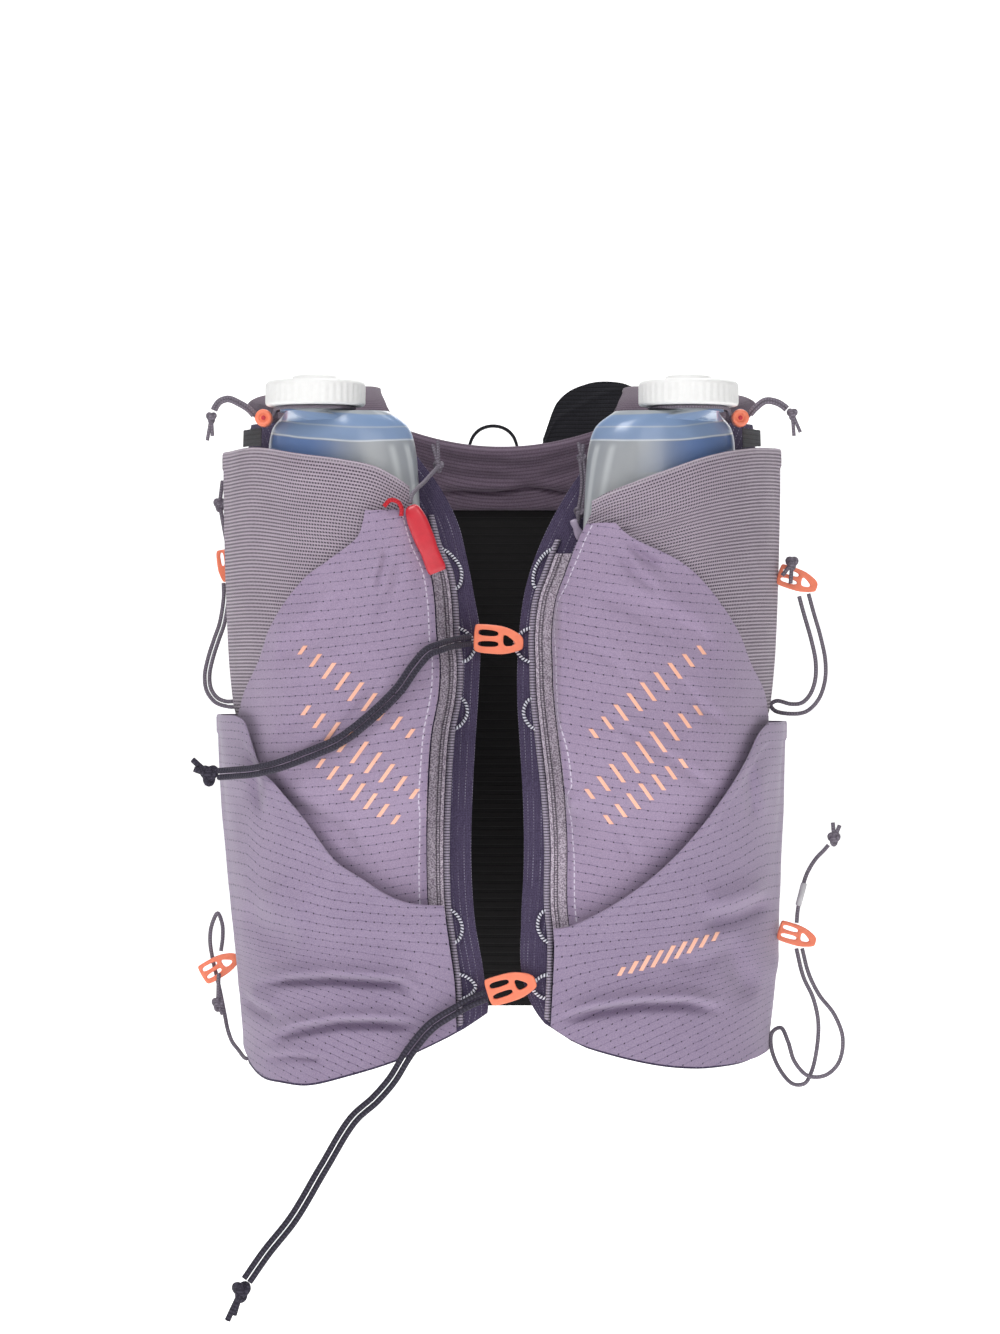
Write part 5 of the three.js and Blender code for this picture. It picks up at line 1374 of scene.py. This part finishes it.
collar = shell(
    "collar_pad", steps(120), steps(60), collar_place, lambda u, v: -COLLAR_INSIDE - collar_creases(u, v),
    lambda u, v: COLLAR_WALL - COLLAR_INSIDE + 0 * u, COLLAR, "harness_mesh", ["collar"], 0.8,
)


def panel_place(u, v):
    out = 2 * u - 1
    z = mix(-YOKE_DROP - SEAM, -BACK_HEIGHT * (1 - 0.05 * out**4), v)
    return along_back(z), out * through(BACK_EDGE, "down", "out", -z / BACK_HEIGHT)


# The back panel's inside: its near-black colour is painted shade of the vest's hollow, over the lining's
# ribs.
shell(
    "back_lining", steps(90), steps(90), panel_place, lambda u, v: 0 * u, lambda u, v: BACK_WALL + 0 * u,
    SHADED_LINING, "lining", ["back_panel"], 0.6,
)


def pocket_bulge(u, v):
    over = np.sin(math.pi * np.clip(u, 1e-6, 1 - 1e-6)) ** 0.7
    falls = np.where(v < 0.4, mix(0.6, 1, ease(v / 0.4)), 1 - ease((v - 0.4) / 0.6) ** 2)
    creases = 0.5 * np.sin(9 * u + 3 * v) * np.sin(math.pi * u) * np.sin(math.pi * v)
    return BACK_WALL + LAYER_GAP + POCKET_BULGE * over * falls + creases


shell(
    "stretch_pocket", steps(90), steps(100),
    lambda u, v: (along_back(mix(-POCKET_TOP, -BACK_HEIGHT * 0.94, v)), (2 * u - 1) * 0.6),
    pocket_bulge, lambda u, v: pocket_bulge(u, v) + PANEL_WALL + 0.5 * np.exp(-(v / 0.03) ** 2),
    DARK, "dark_mesh", ["back_pocket"],
)

v, u = np.meshgrid(np.linspace(0, 1, steps(60)), np.linspace(0, 1, steps(60)), indexing="ij")
flap_x = mix(FLAP_INNER, FLAP_OUTER, u)
flap_z = mix(FLAP_FOOT, mix(FLAP_LOWEST_TOP, FLAP_TOP_Z, through(FLAP_TOP, "out", "rise", u)), v)
flap_y = raised(along_back(FLAP_FOOT), across_body(flap_x), BACK_WALL + SEAM)[..., 1] + 9 * ease(3 * v)
pinch = 0.5 * np.sin(14 * u + 5 * v) * ease(2 * v)
seam_line = 0.7 * np.exp(-(((v - 0.9 + 0.05 * np.sin(6 * u)) / 0.02) ** 2))
sheet_in = np.stack([flap_x, flap_y + pinch, flap_z], -1)
sheet_out = sheet_in + np.stack([0 * u, FLAP_WALL + seam_line, 0 * u], -1)
sheet_in = sheet_in - np.stack([0 * u, seam_line, 0 * u], -1)
wall(
    "loose_flap", sheet_in, sheet_out, DARK, "dark_mesh", np.stack(
        [arc(sheet_out, 1), arc(sheet_out, 0)], -1,
    ),
    np.stack([arc(sheet_out, 1) + 30, arc(sheet_out, 0)], -1), ["back_pocket_flap"],
)

# A small white tab near the top corner of the flap
corner = sheet_out[round(0.93 * (len(v) - 1)), round(0.86 * (len(v) - 1))]
tab_x, tab_y, tab_z = np.meshgrid((-5.5, 5.5), (-3.4, 0.9), (-3.6, 3.6), indexing="ij")
tab_points = np.stack([tab_x, tab_y, tab_z], -1).reshape(-1, 3) + corner
make(
    "white_tab", tab_points, BOX_FACES, WHITE, uv=tab_points[:, [0, 2]],
)


def hang_loop_grid(grown):
    turn = np.linspace(0, math.pi, 41)
    x = -5 + (13.5 + grown) * np.cos(turn)
    z = -NECK_DROP - HANG_LOOP_FOOT + (21 + grown) * np.sin(turn).clip(0, 1) ** 0.6
    y = float(
        raised(along_back(-NECK_DROP - HANG_LOOP_FOOT), 0.0, COLLAR_WALL - COLLAR_INSIDE + 2 * LAYER_GAP)[1],
    )
    return np.stack(
        [np.stack([x, y + depth + 0 * x, z], -1) for depth in np.linspace(0, HANG_LOOP_DEEP, 8)], 1,
    )


loop_in, loop_out = hang_loop_grid(0), hang_loop_grid(HANG_LOOP_WALL)
wall(
    "loop_of_webbing", loop_in, loop_out, DARK, "dark_mesh",
    np.stack([arc(loop_out, 1), arc(loop_out, 0)], -1), replaces=["hang_loop"],
)


# Flasks and caps

def grid_faces(count_rows, count_columns, closed_ends=True):
    index = np.arange(count_rows * count_columns).reshape(count_rows, count_columns)
    following = np.roll(index, -1, axis=1)
    faces = np.stack([index[:-1], following[:-1], following[1:], index[1:]], -1).reshape(-1, 4).tolist()
    if closed_ends:
        faces += [index[0][::-1].tolist(), index[-1].tolist()]
    return faces


def flask_ring(z, smaller, turn):
    wide, deep = flask_section(z)
    u = np.maximum(0.3, wide - smaller) * np.cos(turn)
    w = np.maximum(0.3, deep - smaller) * np.sin(turn) + bend_at(u)
    x = flask_x(z) + u * math.cos(yaw) - w * math.sin(yaw)
    y = flask_y(z) + u * math.sin(yaw) + w * math.cos(yaw)
    return np.stack([x, y, z + 0 * turn], -1)


neck_x, neck_y = flask_x(-FLASK_TOP) + NECK_OFFSET, flask_y(-FLASK_TOP)
cap_foot = -FLASK_TOP + NECK_GAP
for name, side in SIDES:
    turn = np.linspace(0, 2 * math.pi, 72, endpoint=False)

    def neck_ring(z, radius):
        return np.stack(
            [neck_x + radius * np.cos(turn + yaw), neck_y + radius * np.sin(turn + yaw), z + 0 * turn], -1,
        )
    shares = np.concatenate([np.linspace(0, 0.9, 50), np.linspace(0.91, 1, 12)])
    rings = [flask_ring(-FLASK_BOTTOM + flask_length * s, 0, turn) for s in shares]
    rim = flask_ring(-FLASK_TOP, 0, turn)
    rings += [mix(rim, neck_ring(-FLASK_TOP, NECK_RADIUS), s) for s in (0.3, 0.6, 0.9, 1)]
    rings += [
        neck_ring(-FLASK_TOP + NECK_HEIGHT, NECK_RADIUS),
        neck_ring(-FLASK_TOP + NECK_HEIGHT, NECK_RADIUS - 2.4),
    ]
    rings += [neck_ring(-FLASK_TOP - 0.6, NECK_RADIUS - 2.4)]
    rings += [
        flask_ring(-FLASK_BOTTOM + flask_length * s, FLASK_FILM, turn) for s in np.linspace(0.97, 0.1, 30)
    ]
    points = np.array(rings) * (side, 1, 1)
    places = np.stack([
        np.broadcast_to(turn * 30, points.shape[:2]),
        -FLASK_TOP - points[..., 2] + 0.002 * (points[..., 0] * side - flask_x(-40)) ** 2,
    ], -1)
    make(
        f"soft_flask_{name}", points.reshape(-1, 3), grid_faces(len(rings), 72), FILM, "flask_film",
        places.reshape(-1, 2), replaces=[f"flask_{name}"],
    )

    profile = [
        (0.0, NECK_HEIGHT - NECK_GAP + 0.4, 0), (20, NECK_HEIGHT - NECK_GAP + 0.4, 0), (20, 0.4, 0),
        (20.4, 0, 0), (25.6, 0, 0), (26.4, 0.4, 0), (26.9, 1.2, 0.3), (CAP_RADIUS, 1.8, 1),
        (CAP_RADIUS, 10.6, 1), (26.9, 11.2, 0.3), (26.6, 12.2, 0), (25.6, 13.2, 0), (24.6, CAP_HEIGHT, 0),
        (13.4, CAP_HEIGHT, 0), (12.8, 13.8, 0), (12.3, 15.8, 0), (11.4, 16.4, 0),
        (0.0, CAP_HEIGHT + VALVE_HEIGHT, 0),
    ]
    around = np.linspace(0, 2 * math.pi, 240, endpoint=False)
    ridges = 0.2 * (1 + np.cos(40 * around))
    grid = np.array([
        np.stack([
            (max(r, 0.05) - rib * ridges) * np.cos(around), (max(r, 0.05) - rib * ridges) * np.sin(around),
            up + 0 * around,
        ], -1)
        for r, up, rib in profile
    ]) + (neck_x, neck_y, cap_foot)
    places = np.stack([np.broadcast_to(around * CAP_RADIUS, grid.shape[:2]), grid[..., 2]], -1)
    make(
        f"cap_{name}", (grid * (side, 1, 1)).reshape(-1, 3), grid_faces(len(profile), 240),
        WHITE, "cap_plastic",
        places.reshape(-1, 2), replaces=[f"flask_cap_{name}"],
    )


# Flask retainers

def ring_place(turn, level):
    radius = NECK_RADIUS + THIN_CORD / 2 + 2 * SEAM
    angle = math.radians(turn)
    return (neck_x + radius * math.cos(angle), neck_y + radius * math.sin(angle), level)


def lathe_y(profile, centre, sides=40):
    """A turned piece whose axis points forward: radius and distance behind its face."""
    around = np.linspace(0, 2 * math.pi, sides, endpoint=False)
    grid = np.array([
        np.stack(
            [max(r, 0.02) * np.cos(around), back + 0 * around, max(r, 0.02) * np.sin(around)], -1,
        ) for r, back in profile
    ]) + np.asarray(centre, float)
    places = np.stack([np.broadcast_to(around * 4, grid.shape[:2]), grid[..., 1]], -1)
    return grid.reshape(-1, 3), grid_faces(len(profile), sides), places.reshape(-1, 2)


ring_level = -FLASK_TOP + NECK_GAP / 2 + 0.2
TOGGLE_X, TOGGLE_FACE, TOGGLE_Z, TOGGLE_RADIUS = 128.8, -90, -20.4, 4.7
TAILS = {
    -1: (
        [
            (134.2, -83, -18.5), (137, -84, -15.5), (142, -85, -12.4), (148, -85, -10), (152.6, -85, -11.4),
            (155, -85, -14.4), (155.8, -85, -16.2),
        ],
        (157.2, -85, -20), [(159.4, -85, -32.5), (156.6, -84.6, -30)],
    ),
    1: (
        [
            (134.2, -83, -18), (137.4, -84, -14.6), (142.7, -85, -11), (148.6, -85, -11.8),
            (152.4, -85, -14), (154.1, -85, -15.5),
        ],
        (157, -85, -18), [(161.4, -85, -28), (158, -84.6, -30)],
    ),
}
for name, side in SIDES:
    faced = np.array([side, 1, 1])
    barrel = lathe_y(
        [
            (0, 0.9), (2.0, 0.9), (2.5, 0.3), (3.0, 0), (3.9, 0), (4.5, 0.5), (4.7, 1.3), (4.7, 10.8),
            (4.3, 11.7), (3.4, 12), (0, 12),
        ],
        (side * TOGGLE_X, TOGGLE_FACE, TOGGLE_Z),
    )
    thing(f"toggle_{name}", barrel, CORAL, "coral_plastic", [f"flask_toggle_{name}"], 35)
    thing(
        f"toggle_pin_{name}", lathe_y(
            [(0, 0.1), (0.9, 0.1), (1.2, 0.4), (1.2, 0.85), (0, 0.85)],
            (side * TOGGLE_X, TOGGLE_FACE, TOGGLE_Z), 24,
        ),
        RED, "red_plastic",
    )
    reach_x = TOGGLE_X - TOGGLE_RADIUS - 2 * SEAM
    loop = [
        (reach_x, -88, -18.4), (reach_x - 1.2, -94, ring_level - 0.4),
        *[ring_place(turn, ring_level) for turn in (
            -30, -60, -90, -120, -150, -180, -210, -240, -270, -300, -322,
        )],
        (reach_x - 1.5, -79, ring_level), (reach_x, -81.5, -17.4),
    ]
    cord(
        f"neck_elastic_{name}", np.array(loop) * faced, THIN_CORD, GREY, "grey_cord", [f"flask_cord_{name}"],
    )
    route, centre, ends = TAILS[side]
    strands = [
        tube(smooth_route(besides(np.array(route) * faced, offset)), THIN_CORD / 2) for offset in (0.9, -0.9)
    ]
    thing(f"retainer_tail_{name}", merged(*strands), GREY, "grey_cord", [f"flask_tail_{name}"])
    thing(
        f"retainer_knot_{name}",
        tied_knot(
            np.array(centre) * faced, 1.6 * THIN_CORD, [np.array(end) * faced for end in ends], THIN_CORD,
        ),
        GREY, "grey_cord", [f"flask_knot_{name}"],
    )
    tab_top = 0.0665
    grids = cloth(
        side, mesh_layer, 1.6, 16, 24, lambda share: tab_top + 0 * share,
        lambda share, name=name: through(MESH_TOP, "out", name, share) - 0.002,
        lambda z: across_for(z, 0.868 + 0 * z, mesh_layer), lambda z: across_for(z, 0.94 + 0 * z, mesh_layer),
    )
    wall(f"tab_{name}", *grids[:2], DARK, "dark_mesh", *grids[2:], replaces=[f"toggle_tab_{name}"])


# Whistle and zip pulls

WHISTLE_LENGTH, WHISTLE_HALF_WIDE, WHISTLE_HALF_DEEP = 38, 5.5, 3.75


def whistle():
    top, foot = np.array([-48.2, -132.8, -69.5]), np.array([-34.5, -131.4, -103.5])
    way = (foot - top) / np.linalg.norm(foot - top)
    over = np.array([1.0, 0, 0]) - way * way[0]
    over /= np.linalg.norm(over)
    out = np.cross(way, over)
    stations = (
        (0, 0.35, 0.5, 0), (0.03, 0.62, 0.72, 0), (0.12, 0.84, 0.95, 0), (0.25, 0.98, 1, 0), (0.42, 1, 1, 0),
        (0.55, 0.98, 1, 0), (0.66, 0.9, 0.94, 0), (0.76, 0.9, 0.82, 0), (0.88, 0.93, 0.72, 0),
        (0.96, 0.92, 0.66, 0), (1, 0.8, 0.5, 0),
    )
    turn = np.linspace(0, 2 * math.pi, 48, endpoint=False)
    square = 2 / 3.6
    cosine, sine = np.cos(turn), np.sin(turn)
    x, y = np.sign(cosine) * np.abs(cosine) ** square, np.sign(sine) * np.abs(sine) ** square
    at = np.linspace(0, 1, 60)
    table = rows("at wide deep none", *stations)
    rings = []
    for share_at in at:
        half_wide = WHISTLE_HALF_WIDE * through(table, "at", "wide", share_at)
        half_deep = WHISTLE_HALF_DEEP * through(table, "at", "deep", share_at)
        centre = top + way * WHISTLE_LENGTH * share_at
        rings.append(centre + np.outer(half_wide * x, over) + np.outer(half_deep * y, out))
    points = np.array(rings)
    places = np.stack(
        [
            np.broadcast_to(turn * 5, points.shape[:2]),
            np.broadcast_to(at[:, None] * WHISTLE_LENGTH, points.shape[:2]),
        ],
        -1,
    )
    body_piece = make(
        "whistle_body", points.reshape(-1, 3), grid_faces(60, 48), RED, "red_plastic", places.reshape(-1, 2),
        replaces=["whistle"],
    )
    window = np.array([
        (sx * 2.0, WHISTLE_LENGTH * (0.63 + sy * 0.06), 6.4 + sz * 5)
        for sx in (-1, 1) for sy in (-1, 1) for sz in (-1, 1)
    ])
    corners = top + window[:, :1] * over + window[:, 1:2] * way + window[:, 2:] * out
    box = bpy.data.meshes.new("window")
    box.from_pydata((corners * MM).tolist(), [], BOX_FACES)
    cutter = bpy.data.objects.new("window", box)
    bpy.context.scene.collection.objects.link(cutter)
    cut = body_piece.modifiers.new("window", "BOOLEAN")
    cut.object = cutter
    cut.operation = "DIFFERENCE"
    cut.solver = "EXACT"
    evaluated = body_piece.evaluated_get(bpy.context.evaluated_depsgraph_get())
    mesh = bpy.data.meshes.new_from_object(evaluated)
    body_piece.modifiers.clear()
    body_piece.data = mesh
    bpy.data.objects.remove(cutter)
    return body_piece


whistle()
thing(
    "whistle_loop", tube(smooth_route([
        (-53.3, -133.2, -75), (-53.2, -133.8, -71), (-55.2, -134.4, -67.6), (-59.2, -134.4, -66.8),
        (-62.4, -134, -70),
    ], 0.6), 1.2), RED_CORD, "red_cord", ["whistle_cord"],
)
pull_left = [
    (-48.6, -133, -68.2), (-48, -131, -64.6), (-45, -122, -60), (-41.5, -110, -56), (-37.6, -100, -51),
    (-34.6, -93, -47.4),
]
pull_knot = thing(
    "pull_knot_left", tied_knot(
        (-34.2, -92, -46.8), 3.2, [(-37.4, -90, -35), (-34.6, -90, -33)], THIN_CORD,
    ), GREY, "grey_cord",
)
cord("pull_left", pull_left, SIDE_CORD, GREY, "grey_cord", ["zip_pull_left"])
pull_right = [(41.8, -90.4, -71.6), (43.6, -89, -62), (44.2, -87, -54), (43.2, -84.6, -43)]
thing(
    "pull_right", merged(
        tied_knot((41.8, -90.4, -71.6), 3.3, [(40.6, -90.4, -78)], SIDE_CORD),
        tube(smooth_route(besides(pull_right, 1)), THIN_CORD / 2), tube(
            smooth_route(besides(pull_right, -1)), THIN_CORD / 2,
        ),
        tied_knot((43.2, -84.4, -42.4), 3, [(41.4, -83, -33.5), (44, -83, -34.5)], THIN_CORD),
    ), GREY, "grey_cord", ["zip_pull_right"],
)


def slider(name, centre, roll):
    """A zip slider: a waisted moulded tongue."""
    turn = np.linspace(0, 2 * math.pi, 32, endpoint=False)
    rings = []
    for up, half_wide, half_deep in (
        (-5.6, 1.4, 0.8), (-5.2, 2.3, 1.3), (-2, 2.5, 1.5), (1, 1.8, 1.3), (3.5, 2.2, 1.4), (5.2, 2, 1.1),
        (5.6, 1.2, 0.7),
    ):
        cosine, sine = np.cos(turn), np.sin(turn)
        rings.append(np.stack([
            half_wide * np.sign(cosine) * np.abs(cosine) ** 0.7,
            half_deep * np.sign(sine) * np.abs(sine) ** 0.7, up + 0 * turn,
        ], -1))
    points = rolled_by(np.array(rings), roll) + centre
    places = np.stack([np.broadcast_to(turn * 2, points.shape[:2]), points[..., 2]], -1)
    return make(name, points.reshape(-1, 3), grid_faces(7, 32), PALE, "tape", places.reshape(-1, 2))


slider("slider_right", np.array([40.4, -90.6, -80.6]), -22)


# Reflective print: straight rows of short slanted bars, graded in length

def print_bars(name, grids, bars):
    """Thin raised bars on a panel: each bar lies on the panel's own grid of points."""
    outside = grids[1]
    shapes = []
    x, z = outside[..., 0], outside[..., 2]
    for bar_x, bar_z, length, width, slant in bars:
        v, u = np.meshgrid(np.linspace(-1, 1, 9), np.linspace(-1, 1, 4), indexing="ij")
        px = bar_x + u * width / 2 + v * length / 2 * math.sin(slant)
        pz = bar_z + v * length / 2 * math.cos(slant)
        py = np.empty_like(px)
        for index in np.ndindex(px.shape):
            distance = (x - px[index]) ** 2 + (z - pz[index]) ** 2
            near = np.argsort(distance.ravel())[:6]
            weight = 1 / (distance.ravel()[near] + 0.05)
            py[index] = (outside[..., 1].ravel()[near] * weight).sum() / weight.sum()
        top = np.stack([px, py - 0.34, pz], -1)
        under = top + (0, 0.3, 0)
        points = np.concatenate([top.reshape(-1, 3), under.reshape(-1, 3)])
        places = np.concatenate([np.stack([u * width, v * length], -1).reshape(-1, 2)] * 2)
        shapes.append((points, wall_faces(9, 4).tolist(), places))
    return thing(name, merged(*shapes), PRINT, None)


def bar_row(x0, z0, dx, dz, count, longest, width, slant):
    grade = [math.sin(math.pi * (k + 1) / (count + 1)) for k in range(count)]
    return [(x0 + dx * k, z0 + dz * k, 3 + (longest - 3) * g, width, slant) for k, g in enumerate(grade)]


print_bars("bars_left", chest_grids[-1], [
    *bar_row(-106, -146, 7.2, -5.5, 9, 12, 2.4, 0.62), *bar_row(-104, -178, 7.2, -5.5, 9, 14, 2.4, 0.62),
    *bar_row(-96, -206, 6.6, -5, 7, 11, 2.4, 0.62),
])
print_bars("bars_right", chest_grids[1], [
    *bar_row(106, -146, -7.2, -5.5, 9, 12, 2.4, -0.62), *bar_row(104, -178, -7.2, -5.5, 9, 14, 2.4, -0.62),
    *bar_row(96, -206, -6.6, -5, 7, 11, 2.4, -0.62),
])
print_bars("bars_pocket", lower_grids[1], bar_row(64, -318, 6.4, 2.2, 9, 11, 2.4, 0.5))


# Backdrop and lights

def backdrop():
    """A seamless pale floor that curves up into a wall, in metres."""
    half_wide, floor_z, curve_y, radius, wall_top = 8.0, -0.56, 3.6, 0.8, 5.0
    sweep = [(-half_wide, floor_z), (curve_y, floor_z)]
    for a in np.linspace(0.1, math.pi / 2, 16):
        sweep.append((curve_y + radius * math.sin(a), floor_z + radius * (1 - math.cos(a))))
    sweep.append((curve_y + radius, wall_top))
    points = [(x, y, z) for y, z in sweep for x in (-half_wide, half_wide)]
    faces = [(2 * k, 2 * k + 1, 2 * k + 3, 2 * k + 2) for k in range(len(sweep) - 1)]
    mesh = bpy.data.meshes.new("backdrop")
    mesh.from_pydata(points, [], faces)
    mesh.shade_smooth()
    look = Look("backdrop", 0.9)
    look.paint(look.mix(look.noise(900.0, 1.0), colour(250, 250, 250), colour(255, 255, 255)))
    look.shader.inputs["Emission Color"].default_value = (1, 1, 1, 1)
    look.shader.inputs["Emission Strength"].default_value = 0.62
    mesh.materials.append(look.material)
    made = bpy.data.objects.new("backdrop", mesh)
    bpy.context.scene.collection.objects.link(made)


backdrop()

world = bpy.data.worlds.new("studio")
world.use_nodes = True
world.node_tree.nodes["Background"].inputs["Color"].default_value = (1, 1, 1, 1)
world.node_tree.nodes["Background"].inputs["Strength"].default_value = 0.13
bpy.context.scene.world = world


def area(name, location, target, size, energy):
    data = bpy.data.lights.new(name, "AREA")
    data.shape = "RECTANGLE"
    data.size, data.size_y = size
    data.energy = energy
    lamp = bpy.data.objects.new(name, data)
    lamp.location = location
    way = np.array(target, float) - np.array(location, float)
    lamp.rotation_mode = "QUATERNION"
    lamp.rotation_quaternion = Vector(way).to_track_quat("-Z", "Y")
    bpy.context.scene.collection.objects.link(lamp)


area("key", (-0.8, -1.4, 1.6), (0, 0, -0.2), (0.7, 0.7), 22)
area("fill", (0.5, -2.4, 0.9), (0, 0, -0.15), (1.2, 1.2), 13)
area("top", (0.2, 0.3, 2.1), (0, 0, -0.3), (1.4, 1.4), 24)
area("back", (0.6, 2.2, 1.2), (0, 0, -0.2), (1.4, 1.4), 12)

bpy.context.scene.view_settings.view_transform = "Standard"
bpy.context.scene.view_settings.look = "None"
